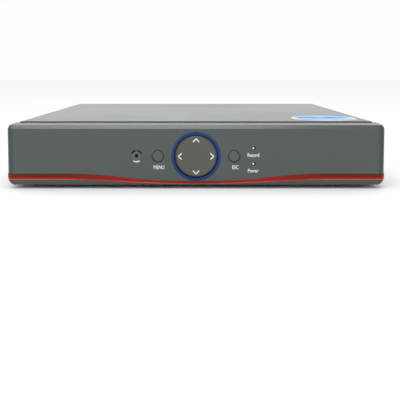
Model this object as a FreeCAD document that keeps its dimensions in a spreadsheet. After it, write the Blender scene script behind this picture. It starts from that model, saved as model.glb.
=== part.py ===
import FreeCAD, Part
import math
import os
import Sketcher

# Digital video recorder in a folded steel case with a moulded front panel.
# Front faces -Y, +X is to the right of someone facing the front, +Z is up.
# The origin is on the ground, midway between the front of the panel and the tips of the rear jacks.

SIZES = {
    # casing
    "case_w": 247.0, "case_d": 215.0, "case_h": 42.0, "foot_h": 2.5,
    "sheet_thick": 1.0, "cover_gap": 0.3, "lip_w": 3.4, "jack_reach": 12.0,
    "flange_h": 12.0, "label_thick": 0.2, "label_edge": 0.4, "cover_bend": 2.0, "cover_step": 0.6,
    "foot_rad": 6.5, "foot_inset": 16.0, "sticker_w": 48.0, "sticker_x": 94.0, "sticker_y": 26.0,
    "vent_long": 14.0, "vent_high": 2.0, "vent_pitch": 4.4, "vent_step": 18.0,
    # moulded front panel
    "panel_deep": 16.0, "panel_over": 4.0, "panel_drop": 0.5, "panel_gap": 0.4, "panel_wall": 2.0,
    "brow_drop": 3.7, "brow_rise": 2.4, "brow_deep": 1.5, "corner_round": 5.0, "edge_round": 4.4,
    "proud": 0.3, "belly_bow": 0.6,
    "strip_high_top": 8.3, "strip_high_low": 4.4, "strip_mid_top": 3.1, "strip_mid_low": 1.5,
    "strip_flat_x": 87.0, "strip_mid_x": 9.0, "strip_deep": 1.0,
    # keys on the front
    "key_z": 20.2, "cap_rad": 14.2, "ring_gap": 0.5, "ring_w": 1.8, "ring_flange": 0.5,
    "cap_thick": 3.0, "post_inset": 2.7, "cap_post_rad": 1.2, "pivot_deep": 5.2, "pivot_gap": 0.5,
    "pivot_w": 2.5, "pivot_thick": 2.4, "pin_rad": 0.6, "pin_play": 0.08, "key_gap": 0.6,
    "cup_wall": 1.2, "cup_floor": 1.2, "ear_w": 3.4, "yoke_thick": 2.1, "yoke_gap": 0.7, "hub_gap": 0.7,
    "button_rad": 3.8, "button_play": 0.35, "button_brim": 1.0, "button_gap": 0.45,
    "light_rad": 1.15, "fit_play": 0.05,
    "record_x": 39.0, "light_high_z": 25.8, "light_low_z": 15.2, "eye_x": 40.0, "eye_z": 20.6,
    "eye_rad": 1.2, "mat_thick": 0.8, "dome_high": 1.2, "mat_deep": 11.4, "board_thick": 1.6,
    "key_board_w": 116.0, "key_board_h": 29.0, "window_half": 48.0, "boss_rad": 3.0, "screw_rad": 1.5,
    # main board and what stands on it
    "board_w": 236.0, "board_d": 104.0, "board_lift": 3.7, "board_back": 0.4,
    "sink_w": 42.0, "sink_h": 14.0, "fin_thick": 1.2, "fin_pitch": 4.08, "cap_can_rad": 4.0,
    "cap_can_h": 12.0,
    # jacks at the rear
    "jack_first_x": 112.9, "jack_pitch": 17.8, "jack_low_z": 16.0, "jack_rise": 14.8,
    "jack_rad": 4.8, "jack_bore": 4.05, "jack_flange": 6.4, "jack_block_w": 14.4, "jack_block_d": 14.0,
    "jack_block_h": 30.0, "lug_rad": 1.0, "lug_high": 0.7,
    "out_x": -30.3, "sound_x": -82.8, "sound_reach": 8.6, "sound_rad": 4.15, "sound_bore": 3.3,
    "sound_base": 5.15, "sound_low_z": 15.6, "sound_rise": 14.0, "sound_block_w": 11.0,
    "hd_x": -46.9, "hd_w": 15.0, "hd_h": 6.2, "hd_d": 11.5, "socket_proud": 0.8, "can_thick": 0.4,
    "net_x": -66.0, "net_w": 18.8, "net_h": 31.5, "net_d": 21.0, "plug_w": 12.6, "net_plug_low": 19.8,
    "net_plug_h": 7.2, "usb_h": 5.1, "usb_low": 1.8, "usb_rise": 8.7,
    "vga_x": -104.6, "vga_z": 34.7, "vga_w": 16.6, "vga_h": 8.4, "vga_reach": 6.0, "vga_screw_x": 12.5,
    "vga_corner": 1.5, "vga_slant": 1.45, "core_play": 0.05,
    "vga_plate_w": 31.0, "vga_plate_h": 12.4, "vga_pin_step": 2.29, "vga_pin_row": 1.98, "hex_rad": 2.7,
    "term_x": -95.0, "term_w": 7.9, "term_h": 7.6, "term_d": 9.0,
    "dc_x": -104.9, "dc_w": 9.0, "dc_h": 11.0, "dc_d": 14.0, "dc_bore": 3.15, "dc_bore_z": 6.9, "dc_pin": 1.0,
    "earth_x": -117.0, "earth_z": 22.4, "head_rad": 3.2, "head_high": 2.0, "seal_x": -89.6, "seal_rad": 1.8,
    # hard drive, fan and leads
    "drive_w": 147.0, "drive_d": 101.6, "drive_h": 24.5, "drive_lift": 2.6, "drive_gap": 2.4,
    "drive_side": 3.7,
    "fan_size": 35.0, "fan_deep": 10.0, "fan_y": -52.0, "fan_rim": 1.1, "blade_gap": 0.8, "hub_rad": 8.5,
    "shaft_rad": 1.0, "run_play": 0.05, "lead_rad": 1.6,
}

doc = FreeCAD.newDocument("recorder")
sheet = doc.addObject("Spreadsheet::Sheet", "Sizes")
for row, (word, size) in enumerate(SIZES.items(), start=1):
    sheet.set(f"A{row}", word)
    sheet.set(f"B{row}", str(size))
    sheet.setAlias(f"B{row}", word)
doc.recompute()


class Rule:
    """A size as an expression on the sheet's cells, with the value that it has now."""

    def __init__(self, text, value):
        self.text = text
        self.value = value

    def joined(self, sign, other, value):
        return Rule(f"({self.text} {sign} {other.text})", value)

    def __add__(self, other):
        other = rule(other)
        return self.joined("+", other, self.value + other.value)

    def __sub__(self, other):
        other = rule(other)
        return self.joined("-", other, self.value - other.value)

    def __mul__(self, other):
        other = rule(other)
        return self.joined("*", other, self.value * other.value)

    def __truediv__(self, other):
        other = rule(other)
        return self.joined("/", other, self.value / other.value)

    def __radd__(self, other):
        return rule(other) + self

    def __rsub__(self, other):
        return rule(other) - self

    def __rmul__(self, other):
        return rule(other) * self

    def __neg__(self):
        return rule(0) - self


def rule(size):
    """A plain number made a Rule; a Rule stays as it is."""
    if isinstance(size, Rule):
        return size
    return Rule(f"({size})", float(size))


class Cells:
    """Each cell of the sheet as a Rule: s.case_w and so on."""

    def __getattr__(self, word):
        return Rule(f"Sizes.{word}", float(sheet.get(word)))


s = Cells()
nodes = []


def bind(thing, place, size):
    thing.setExpression(place, rule(size).text)


def put(thing, at, turn=None):
    """Place a thing: its base by rules, its turn as a fixed rotation."""
    if turn is not None:
        thing.Placement = FreeCAD.Placement(FreeCAD.Vector(0, 0, 0), turn)
    for axis, size in zip("xyz", at):
        bind(thing, f"Placement.Base.{axis}", size)
    return thing


ALONG = {
    "x": FreeCAD.Rotation(FreeCAD.Vector(0, 1, 0), 90),
    "y": FreeCAD.Rotation(FreeCAD.Vector(1, 0, 0), -90),
    "z": FreeCAD.Rotation(),
}


def box(name, low, size):
    """A block from its lowest corner."""
    block = doc.addObject("Part::Box", name)
    for side, length in zip(("Length", "Width", "Height"), size):
        bind(block, side, length)
    return put(block, low)


def block_at(name, mid_x, low_y, low_z, size):
    """A block centred on mid_x."""
    return box(name, (mid_x - size[0] / 2, low_y, low_z), size)


def rod(name, radius, length, at, along="y"):
    """A cylinder that starts at a point and runs along +X, +Y or +Z."""
    cylinder = doc.addObject("Part::Cylinder", name)
    bind(cylinder, "Radius", radius)
    bind(cylinder, "Height", length)
    return put(cylinder, at, ALONG[along])


def fuse(name, pieces):
    joined = doc.addObject("Part::MultiFuse", name)
    joined.Shapes = pieces
    return joined


def cut(name, base, tools):
    """The base without the tools."""
    less = doc.addObject("Part::Cut", name)
    less.Base = base
    less.Tool = tools[0] if len(tools) == 1 else fuse(name + "_tools", tools)
    return less


def group(name, pieces):
    """Separate solids that share one node."""
    together = doc.addObject("Part::Compound", name)
    together.Links = pieces
    return together


def links_to(name, master, places, turn=None):
    """The same piece at several places, each a link to it."""
    links = []
    for at in places:
        link = doc.addObject("App::Link", name + "_copy")
        link.LinkedObject = master
        link.LinkTransform = True
        links.append(put(link, at, turn))
    return links


def copies(name, master, places, turn=None):
    """Links to a piece, gathered in one group."""
    return group(name, links_to(name, master, places, turn))


def node(name, piece):
    """Name a finished piece as a sub-part."""
    piece.Label = name
    nodes.append(piece)
    return piece


def new_body(name):
    return doc.addObject("PartDesign::Body", name)


def sketch_on(body, role, level):
    """A sketch on one of the body's origin planes, moved along that plane's normal."""
    sketch = body.newObject("Sketcher::SketchObject", body.Name + "_sketch")
    plane = [feature for feature in body.Origin.OriginFeatures if feature.Role == role][0]
    sketch.AttachmentSupport = [(plane, "")]
    sketch.MapMode = "FlatFace"
    bind(sketch, "AttachmentOffset.Base.z", level)
    return sketch


def arc_edge(start, end, radius):
    """The shorter arc between two points; a positive radius turns left. Also says which end is first."""
    middle = (start + end) * 0.5
    half = (end - start) * 0.5
    side = FreeCAD.Vector(-half.y, half.x, 0).normalize() * math.copysign(1, radius)
    centre = middle + side * math.sqrt(max(radius ** 2 - half.Length ** 2, 0))
    angles = [math.atan2(point.y - centre.y, point.x - centre.x) for point in (start, end)]
    if radius < 0:
        angles.reverse()
    circle = Part.Circle(centre, FreeCAD.Vector(0, 0, 1), abs(radius))
    return Part.ArcOfCircle(circle, angles[0], angles[1]), radius < 0


def outline(sketch, points):
    """A closed outline through points (u, v); a third item is the radius of the arc to the next point."""
    first_edge = sketch.GeometryCount
    spots = [FreeCAD.Vector(rule(point[0]).value, rule(point[1]).value, 0) for point in points]
    ends = []
    for index, point in enumerate(points):
        start, end = spots[index], spots[(index + 1) % len(spots)]
        if len(point) == 3:
            edge, turned = arc_edge(start, end, rule(point[2]).value)
        else:
            edge, turned = Part.LineSegment(start, end), False
        sketch.addGeometry(edge, False)
        ends.append((2, 1) if turned else (1, 2))
    for index in range(len(points)):
        after = (index + 1) % len(points)
        sketch.addConstraint(Sketcher.Constraint(
            "Coincident", first_edge + index, ends[index][1], first_edge + after, ends[after][0]))
    for index, point in enumerate(points):
        for kind, size in (("DistanceX", point[0]), ("DistanceY", point[1])):
            hold = sketch.addConstraint(Sketcher.Constraint(
                kind, -1, 1, first_edge + index, ends[index][0], rule(size).value))
            bind(sketch, f"Constraints[{hold}]", size)
        if len(point) == 3:
            radius = rule(point[2])
            radius = radius if radius.value > 0 else -radius
            hold = sketch.addConstraint(Sketcher.Constraint("Radius", first_edge + index, radius.value))
            bind(sketch, f"Constraints[{hold}]", radius)


def pad(body, sketch, length, reverse=False):
    feature = body.newObject("PartDesign::Pad", body.Name + "_pad")
    feature.Profile = sketch
    bind(feature, "Length", length)
    feature.Reversed = reverse
    return feature


def spun(name, profile):
    """A turned piece from its half outline (radius, height), standing on the origin along Z."""
    body = new_body(name)
    sketch = sketch_on(body, "XZ_Plane", 0)
    outline(sketch, profile)
    turning = body.newObject("PartDesign::Revolution", name + "_turning")
    turning.Profile = sketch
    turning.ReferenceAxis = (sketch, ["V_Axis"])
    turning.Angle = 360
    return body


def slab(name, low_y, depth, *outlines):
    """A flat piece facing front and rear, with outlines (x, z): the first is the edge, the rest are holes."""
    body = new_body(name)
    sketch = sketch_on(body, "XZ_Plane", -low_y)
    for points in outlines:
        outline(sketch, points)
    pad(body, sketch, depth, reverse=True)
    return body


def round_edges(body, name, radius, wanted):
    """Fillet the edges of the body's last feature that the test picks."""
    doc.recompute()
    base = body.Tip
    picked = [f"Edge{number}" for number, edge in enumerate(base.Shape.Edges, start=1) if wanted(edge)]
    fillet = body.newObject("PartDesign::Fillet", name)
    fillet.Base = (base, picked)
    bind(fillet, "Radius", radius)
    return fillet


def near(first, second):
    return abs(first - second) < 0.01


def dome_radius(reach, rise):
    """Radius of a dome of that reach and rise, centred on its axis."""
    return (reach * reach + rise * rise) / (rise * 2)


# Places that many pieces share.
front_y = -(s.proud + s.panel_deep + s.case_d + s.jack_reach) / 2
face_y = front_y + s.proud
cover_y = face_y + s.panel_deep
rear_y = cover_y + s.case_d
rear_face = rear_y - s.sheet_thick - s.cover_gap
rear_in = rear_face - s.sheet_thick
tip_y = rear_y + s.jack_reach
floor_z = s.foot_h + s.sheet_thick
top_z = s.foot_h + s.case_h
tray_half = s.case_w / 2 - s.sheet_thick - s.cover_gap
tray_top = top_z - s.sheet_thick - s.cover_gap
board_z = floor_z + s.board_lift
deck_z = board_z + s.board_thick
low_z = s.foot_h - s.panel_drop
key_z = low_z + s.key_z
ring_bore = s.cap_rad + s.ring_gap
ring_rad = ring_bore + s.ring_w
cup_rad = ring_rad + s.ring_flange
post_x = s.cap_rad - s.post_inset
yoke_in = post_x - s.cap_post_rad - s.yoke_gap - s.yoke_thick
pivot_rad = yoke_in - s.pivot_gap
pivot_bore = pivot_rad - s.pivot_w
menu_x = cup_rad + s.fit_play + s.ear_w + s.button_gap + s.button_rad + s.button_brim
jack_low = s.jack_low_z
jack_high = s.jack_low_z + s.jack_rise
sound_high = s.sound_low_z + s.sound_rise
jack_xs = [s.jack_first_x - s.jack_pitch * column for column in range(8)]
jack_spots = [(x, z) for x in jack_xs for z in (jack_low, jack_high)]


def rear_cutters():
    """What the rear wall and its label are pierced with, each a little larger than what passes through."""
    low, deep = rear_in - 2, rule(5)
    play = rule(0.25)
    tools = [rod("jack_hole", s.jack_flange + play, deep, (x, low, z)) for x, z in jack_spots]
    tools += [rod("out_hole", s.jack_flange + play, deep, (s.out_x, low, z)) for z in (jack_low, jack_high)]
    tools += [rod("sound_hole", s.sound_base + play, deep, (s.sound_x, low, z))
              for z in (s.sound_low_z, sound_high)]
    for x, base_z, wide, high in (
            (s.hd_x, deck_z, s.hd_w, s.hd_h), (s.net_x, deck_z, s.net_w, s.net_h),
            (s.term_x, deck_z, s.term_w, s.term_h), (s.dc_x, deck_z, s.dc_w, s.dc_h),
            (s.vga_x, s.vga_z - s.vga_h / 2, s.vga_w, s.vga_h)):
        tools.append(block_at("port_hole", x, low, base_z - play, (wide + play * 2, deep, high + play * 2)))
    for side in (-1, 1):
        tools.append(rod("hex_hole", s.hex_rad + play, deep, (s.vga_x + side * s.vga_screw_x, low, s.vga_z)))
    tools.append(rod("earth_hole", s.screw_rad + s.fit_play, deep, (s.earth_x, low, s.earth_z)))
    tools.append(rod("seal_hole", s.seal_rad / 2 + s.fit_play, deep, (s.seal_x, low, s.earth_z)))
    return fuse("rear_cutters", tools)


def cover_screw_spots():
    """Side screws: two on each side, at half the height of the tray's flange."""
    height = s.foot_h + s.flange_h / 2
    return [(y, height) for y in (cover_y + 30, rear_y - 30)]


def panel_screw_spots():
    """Screws through the tray's front wall into the panel's bosses."""
    return [(side * (s.case_w / 2 - 20), low_z + height) for side in (-1, 1) for height in (13.0, 32.0)]


def board_screw_spots():
    back = rear_in - s.board_back - 22
    return [(side * (s.board_w / 2 - 6), y) for side in (-1, 1) for y in (back, back - s.board_d + 28)]


def drive_screw_spots():
    middle = drive_y + s.drive_d / 2
    return [(drive_x + side * 22.25, middle + end * 38) for side in (-1, 1) for end in (-1, 1)]


drive_y = cover_y + s.sheet_thick + s.drive_gap
drive_z = floor_z + s.drive_lift
drive_x = tray_half - s.sheet_thick - s.drive_side - s.drive_w / 2
fan_z = floor_z + 1.0
fan_x = -tray_half + s.sheet_thick
fan_bore = s.fan_size / 2 - s.fan_rim
blade_rad = fan_bore - s.blade_gap

cutters = rear_cutters()


def chassis_tray():
    """Floor, rear wall, front wall and side flanges of one folded sheet, with pressed standoffs."""
    width = tray_half * 2
    floor = block_at("tray_floor", rule(0), cover_y, s.foot_h, (width, rear_face - cover_y, s.sheet_thick))
    rear = block_at("tray_rear", rule(0), rear_in, s.foot_h, (width, s.sheet_thick, tray_top - s.foot_h))
    front = block_at("tray_front", rule(0), cover_y, s.foot_h,
                     (width, s.sheet_thick, tray_top - s.foot_h - 4))
    pieces = [floor, rear, front]
    for side in (-1, 1):
        low_x = -tray_half if side < 0 else tray_half - s.sheet_thick
        pieces.append(box("tray_flange", (low_x, cover_y, s.foot_h), (s.sheet_thick, rear_face - cover_y,
                                                                      s.flange_h)))
    fan_half = s.fan_size / 2
    pieces.append(box("tray_fan_plate", (-tray_half, s.fan_y - fan_half, s.foot_h),
                      (s.sheet_thick, s.fan_size, fan_z + s.fan_size - s.foot_h)))
    for x, y in board_screw_spots():
        pieces.append(rod("tray_standoff", s.boss_rad, s.board_lift, (x, y, floor_z), "z"))
    for x, y in drive_screw_spots():
        pieces.append(rod("tray_drive_pad", s.boss_rad, s.drive_lift, (x, y, floor_z), "z"))
    whole = fuse("tray_metal", pieces)
    tools = [cutters]
    tools.append(block_at("tray_window", rule(0), cover_y - 1, low_z + 8,
                          (s.window_half * 2, rule(4), rule(26))))
    tools.append(rod("tray_fan_hole", fan_bore, rule(4), (-tray_half - 1, s.fan_y, fan_z + fan_half), "x"))
    hole = s.screw_rad + s.fit_play
    for y, z in cover_screw_spots():
        for start in (-tray_half - 1, tray_half - 2):
            tools.append(rod("tray_side_hole", hole, rule(3), (start, y, z), "x"))
    for x, z in panel_screw_spots():
        tools.append(rod("tray_front_hole", hole, rule(4), (x, cover_y - 1, z)))
    for x, y in board_screw_spots():
        tools.append(rod("tray_standoff_bore", hole, s.board_lift, (x, y, floor_z), "z"))
    for x, y in drive_screw_spots():
        tools.append(rod("tray_drive_bore", hole, s.drive_lift + 4, (x, y, s.foot_h - 2), "z"))
    return node("chassis_tray", cut("tray_pierced", whole, tools))


def rear_label():
    """Printed plastic sheet stuck to the rear wall inside the cover's lip."""
    half = tray_half - s.lip_w + 1
    sheet_piece = block_at("label_sheet", rule(0), rear_face, s.foot_h + s.label_edge,
                           (half * 2, s.label_thick, tray_top - s.foot_h - s.lip_w + 0.4))
    screw_room = rod("label_room", s.head_rad + 0.3, rule(2), (s.earth_x, rear_face - 1, s.earth_z))
    return node("rear_label", cut("label_cut", sheet_piece, [cutters, screw_room]))


def cover_outline(wall, turn):
    """The cover from the front (x, z): an arch with that wall and round bends, tighter inside."""
    half, bend = s.case_w / 2, s.cover_bend
    inside, roof = half - wall, top_z - wall
    return [
        (-half, s.foot_h), (-half, top_z - bend, -bend), (-half + bend, top_z), (half - bend, top_z, -bend),
        (half, top_z - bend), (half, s.foot_h), (inside, s.foot_h), (inside, roof - turn, turn),
        (inside - turn, roof), (-inside + turn, roof, turn), (-inside, roof - turn), (-inside, s.foot_h)]


def top_cover():
    """U-shaped cover with a narrow lip at the rear and rows of vent slots in both sides."""
    half, wall = s.case_w / 2, s.sheet_thick
    body = slab("cover_channel", cover_y, s.case_d, cover_outline(wall, s.cover_bend - wall))
    sketch = sketch_on(body, "XZ_Plane", -rear_y)
    outline(sketch, cover_outline(s.lip_w, rule(0.5)))
    pad(body, sketch, wall)
    tools = []
    for row in range(5):
        for step in range(4):
            low_y = s.fan_y - s.vent_step * 2 + s.vent_step * step + (s.vent_step - s.vent_long) / 2
            low = s.foot_h + s.flange_h + 4 + s.vent_pitch * row
            tools.append(box("cover_vent", (-half - 1, low_y, low), (s.case_w + 2, s.vent_long, s.vent_high)))
    for y, z in cover_screw_spots():
        tools.append(rod("cover_hole", s.screw_rad + s.cover_gap, s.case_w + 4, (-half - 2, y, z), "x"))
    return node("top_cover", cut("cover_cut", body, tools))


def pan_screw(name, shank_long):
    """Cross-head screw standing on the origin, head upwards."""
    edge, brim = s.head_rad * 0.86, s.head_high * 0.35
    head = spun(name + "_head", [(0, 0), (edge, 0), (edge, brim, dome_radius(edge, s.head_high - brim)),
                                 (0, s.head_high)])
    shank = rod(name + "_shank", s.screw_rad, shank_long + 0.5, (0, 0, -shank_long), "z")
    arm = s.head_rad * 0.55
    tools = [box(name + "_slot", (-long_x / 2, -long_y / 2, s.head_high * 0.45), (long_x, long_y, rule(3)))
             for long_x, long_y in ((arm * 2, rule(0.7)), (rule(0.7), arm * 2))]
    return cut(name, fuse(name + "_blank", [head, shank]), tools)


TURN_REAR = FreeCAD.Rotation(FreeCAD.Vector(1, 0, 0), -90)
TURN_LEFT = FreeCAD.Rotation(FreeCAD.Vector(0, 1, 0), -90)
TURN_RIGHT = FreeCAD.Rotation(FreeCAD.Vector(0, 1, 0), 90)
TURN_DOWN = FreeCAD.Rotation(FreeCAD.Vector(1, 0, 0), 180)


def screws():
    """All the cross-head screws, by where they are used."""
    short = pan_screw("short_screw", rule(4))
    half = s.case_w / 2
    sides = links_to("cover_screw", short, [(-half, y, z) for y, z in cover_screw_spots()], TURN_LEFT)
    sides += links_to("cover_screw", short, [(half, y, z) for y, z in cover_screw_spots()], TURN_RIGHT)
    node("cover_screws", group("cover_screw_set", sides))
    fronts = [(x, cover_y + s.sheet_thick, z) for x, z in panel_screw_spots()]
    node("front_panel_screws", copies("panel_screw_set", short, fronts, TURN_REAR))
    decks = [(x, y, deck_z) for x, y in board_screw_spots()]
    node("board_screws", copies("board_screw_set", short, decks))
    drives = [(x, y, s.foot_h) for x, y in drive_screw_spots()]
    long_screw = pan_screw("long_screw", s.drive_lift + s.sheet_thick + 2)
    node("drive_screws", copies("drive_screw_set", long_screw, drives, TURN_DOWN))
    node("earth_screw", links_to("earth_link", short, [(s.earth_x, rear_face, s.earth_z)], TURN_REAR)[0])


def sealed_screw():
    """Small dome-headed screw covered with a blob of red sealing lacquer."""
    body = spun("seal_turned", [(0, -3.0), (s.seal_rad / 2, -3.0), (s.seal_rad / 2, s.label_thick),
                                (s.seal_rad, s.label_thick, dome_radius(s.seal_rad, rule(1))),
                                (0, s.label_thick + 1)])
    return node("sealed_screw", put(body, (s.seal_x, rear_face, s.earth_z), TURN_REAR))


def rubber_feet():
    foot = spun("foot_turned", [(0, 0), (s.foot_rad - 1, 0), (s.foot_rad - 0.4, 0.5),
                                (s.foot_rad, s.foot_h), (0, s.foot_h)])
    spots = [(side * (s.case_w / 2 - s.foot_inset), y, rule(0))
             for side in (-1, 1) for y in (cover_y + s.foot_inset, rear_y - s.foot_inset)]
    return node("rubber_feet", copies("foot_set", foot, spots))


def top_sticker():
    """Round paper sticker near the front right of the cover."""
    return node("top_sticker", rod("sticker_sheet", s.sticker_w / 2, rule(0.15),
                                   (s.sticker_x, cover_y + s.sticker_y, top_z), "z"))


# ---- front panel and keys ----

strip_rise_top = s.strip_high_top - s.strip_mid_top
strip_rise_low = s.strip_high_low - s.strip_mid_low
strip_run = s.strip_flat_x - s.strip_mid_x


def strip_outline(grow):
    """The wavy band (x, z): high at both ends, low in the middle, each slope two equal tangent arcs."""
    end = s.case_w / 2 + s.panel_over + s.proud + 1
    top_bend = (strip_run * strip_run + strip_rise_top * strip_rise_top) / (strip_rise_top * 4)
    low_bend = (strip_run * strip_run + strip_rise_low * strip_rise_low) / (strip_rise_low * 4)
    half_way = (s.strip_flat_x + s.strip_mid_x) / 2
    high_top, mid_top = low_z + s.strip_high_top + grow, low_z + s.strip_mid_top + grow
    high_low, mid_low = low_z + s.strip_high_low - grow, low_z + s.strip_mid_low - grow
    half_top, half_low = (high_top + mid_top) / 2, (high_low + mid_low) / 2
    return [
        (-end, high_low), (-s.strip_flat_x, high_low, -low_bend), (-half_way, half_low, low_bend),
        (-s.strip_mid_x, mid_low), (s.strip_mid_x, mid_low, low_bend), (half_way, half_low, -low_bend),
        (s.strip_flat_x, high_low), (end, high_low), (end, high_top), (s.strip_flat_x, high_top, top_bend),
        (half_way, half_top, -top_bend), (s.strip_mid_x, mid_top), (-s.strip_mid_x, mid_top, -top_bend),
        (-half_way, half_top, top_bend), (-s.strip_flat_x, high_top), (-end, high_top)]


panel_half = s.case_w / 2 + s.panel_over
panel_back = cover_y - s.panel_gap


def rounded_outline(half, low, high, corner):
    """A block from the front (x, z) with the same arc at its four corners."""
    return [
        (-half + corner, low), (half - corner, low, corner), (half, low + corner),
        (half, high - corner, corner),
        (half - corner, high), (-half + corner, high, corner), (-half, high - corner),
        (-half, low + corner, corner)]


def panel_solid(name, grow):
    """The panel's outer form, grown or shrunk by one amount: a rounded block less the brow's slope."""
    front, half, high = face_y - grow, panel_half + grow, top_z + grow
    face_top = top_z - s.brow_drop
    body = slab(name, front, panel_back - front, rounded_outline(half, low_z - grow, high,
                                                                 s.corner_round + grow))
    sketch = sketch_on(body, "YZ_Plane", 0)
    outline(sketch, [
        (front - 1, face_top), (front, face_top), (front + s.brow_deep, face_top + s.brow_rise),
        (panel_back, high - s.cover_step), (panel_back, high + 1), (front - 1, high + 1)])
    brow = body.newObject("PartDesign::Pocket", name + "_brow")
    brow.Profile = sketch
    brow.Midplane = True
    bind(brow, "Length", half * 2 + 2)
    level = front.value
    round_edges(body, name + "_edges", s.edge_round + grow, lambda edge: near(edge.BoundBox.YMin, level)
                and near(edge.BoundBox.YMax, level) and edge.BoundBox.ZMin < face_top.value - 0.01)
    return body


def front_panel():
    """Hollow moulding: bowed underneath, open at the back, with bosses and holes for keys and lights."""
    outer = panel_solid("panel_outer", rule(0))
    belly_rad = dome_radius(panel_half, s.belly_bow)
    belly = rod("panel_belly", belly_rad, s.panel_deep + 4, (0, face_y - 2, low_z + belly_rad))
    bowed = doc.addObject("Part::Common", "panel_bowed")
    bowed.Base, bowed.Tool = outer, belly
    wall = s.panel_wall
    hollow = block_at("panel_hollow", rule(0), face_y + wall, low_z + s.belly_bow + wall,
                      (panel_half * 2 - s.corner_round * 2, s.panel_deep,
                       s.case_h - s.belly_bow - wall * 2 - s.brow_rise))
    band = slab("panel_band", front_y - 1, s.panel_deep + 2, strip_outline(s.fit_play))
    groove = cut("panel_groove", band, [panel_solid("panel_core", -s.strip_deep)])
    tools = [hollow, groove, rod("panel_ring_hole", ring_rad + s.fit_play, rule(6), (0, face_y - 2, key_z))]
    for side in (-1, 1):
        tools.append(rod("panel_key_hole", s.button_rad + s.button_play, rule(6),
                         (side * menu_x, face_y - 2, key_z)))
    for height in (s.light_high_z, s.light_low_z):
        tools.append(rod("panel_light_hole", s.light_rad + s.fit_play, rule(6),
                         (s.record_x, face_y - 2, low_z + height)))
    tools.append(rod("panel_eye_hole", s.eye_rad + s.fit_play, rule(6),
                     (-s.eye_x, face_y - 2, low_z + s.eye_z)))
    shell = cut("panel_shell", bowed, tools)
    bosses = [rod("panel_boss", s.boss_rad, panel_back - face_y - 1, (x, face_y + 1, z))
              for x, z in panel_screw_spots()]
    posts = [rod("panel_post", s.boss_rad, s.mat_deep + s.mat_thick - 1, (x, face_y + 1, z))
             for x, z in key_post_spots()]
    whole = fuse("panel_whole", [shell] + bosses + posts)
    bores = [rod("panel_bore", s.screw_rad + s.fit_play, rule(8), (x, panel_back - 6, z))
             for x, z in panel_screw_spots()]
    return node("front_panel", cut("panel_bored", whole, bores))


def key_post_spots():
    """Where the key board rests on the panel, near its ends."""
    return [(side * (s.key_board_w / 2 - 4), key_z + rise) for side in (-1, 1) for rise in (-7.0, 9.0)]


def red_accent_strip():
    """Clear red band let into the panel, just proud of it, wrapped round both ends."""
    band = slab("strip_band", front_y - 1, s.panel_deep + 2, strip_outline(rule(0)))
    inlay = doc.addObject("Part::Common", "strip_inlay")
    inlay.Base, inlay.Tool = band, panel_solid("strip_limit", s.proud)
    return node("red_accent_strip", cut("strip_hollow", inlay, [panel_solid("strip_core", -s.strip_deep)]))


def blue_ring():
    """Translucent ring round the pad, with a flange behind the panel's wall."""
    front, wall = s.proud, s.panel_wall
    ring = spun("ring_turned", [
        (ring_bore, -front), (ring_rad - 0.3, -front), (ring_rad, 0), (ring_rad, wall),
        (ring_rad + s.ring_flange, wall), (ring_rad + s.ring_flange, wall + 1), (ring_bore, wall + 1)])
    return node("blue_ring", put(ring, (0, face_y, key_z), TURN_REAR))


def four_ways(reach):
    return [(reach, 0), (0, reach), (-reach, 0), (0, -reach)]


def dpad_cap():
    """Round four-way cap with a shallow dish, a hub with cross pins and four posts behind."""
    disc = spun("cap_disc", [
        (0, 0.7), (s.cap_rad * 0.45, 0.45, -s.cap_rad * 6), (s.cap_rad - 1.2, 0), (s.cap_rad, 0.8),
        (s.cap_rad, s.cap_thick),
        (0, s.cap_thick)])
    put(disc, (0, face_y, key_z), TURN_REAR)
    hub_rad = pivot_bore - s.hub_gap
    hub_end = s.pivot_deep + s.pivot_thick / 2
    hub = rod("cap_hub", hub_rad, hub_end - 2, (0, face_y + 2, key_z))
    pins = rod("cap_pins", s.pin_rad, (pivot_rad - 0.8) * 2,
               (0, face_y + s.pivot_deep, key_z - pivot_rad + 0.8), "z")
    post_end = s.mat_deep - s.dome_high - s.key_gap
    posts = [rod("cap_post", s.cap_post_rad, post_end - 2, (x, face_y + 2, key_z + z))
             for x, z in four_ways(post_x)]
    return node("dpad_cap", fuse("cap_whole", [disc, hub, pins] + posts))


def dpad_pivot():
    """Gimbal ring: it tips on its own side pins, and the cap tips on pins through it."""
    low = s.pivot_deep - s.pivot_thick / 2
    ring = rod("pivot_ring", pivot_rad, s.pivot_thick, (0, face_y + low, key_z))
    reach = yoke_in + s.yoke_thick - 0.3
    pins = rod("pivot_pins", s.pin_rad, reach * 2, (-reach, face_y + s.pivot_deep, key_z), "x")
    bore = rod("pivot_bore_tool", pivot_bore, s.pivot_thick + 2, (0, face_y + low - 1, key_z))
    hole = rod("pivot_hole", s.pin_rad + s.pin_play, pivot_rad * 2 + 2,
               (0, face_y + s.pivot_deep, key_z - pivot_rad - 1), "z")
    return node("dpad_pivot", cut("pivot_cut", fuse("pivot_blank", [ring, pins]), [bore, hole]))


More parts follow.
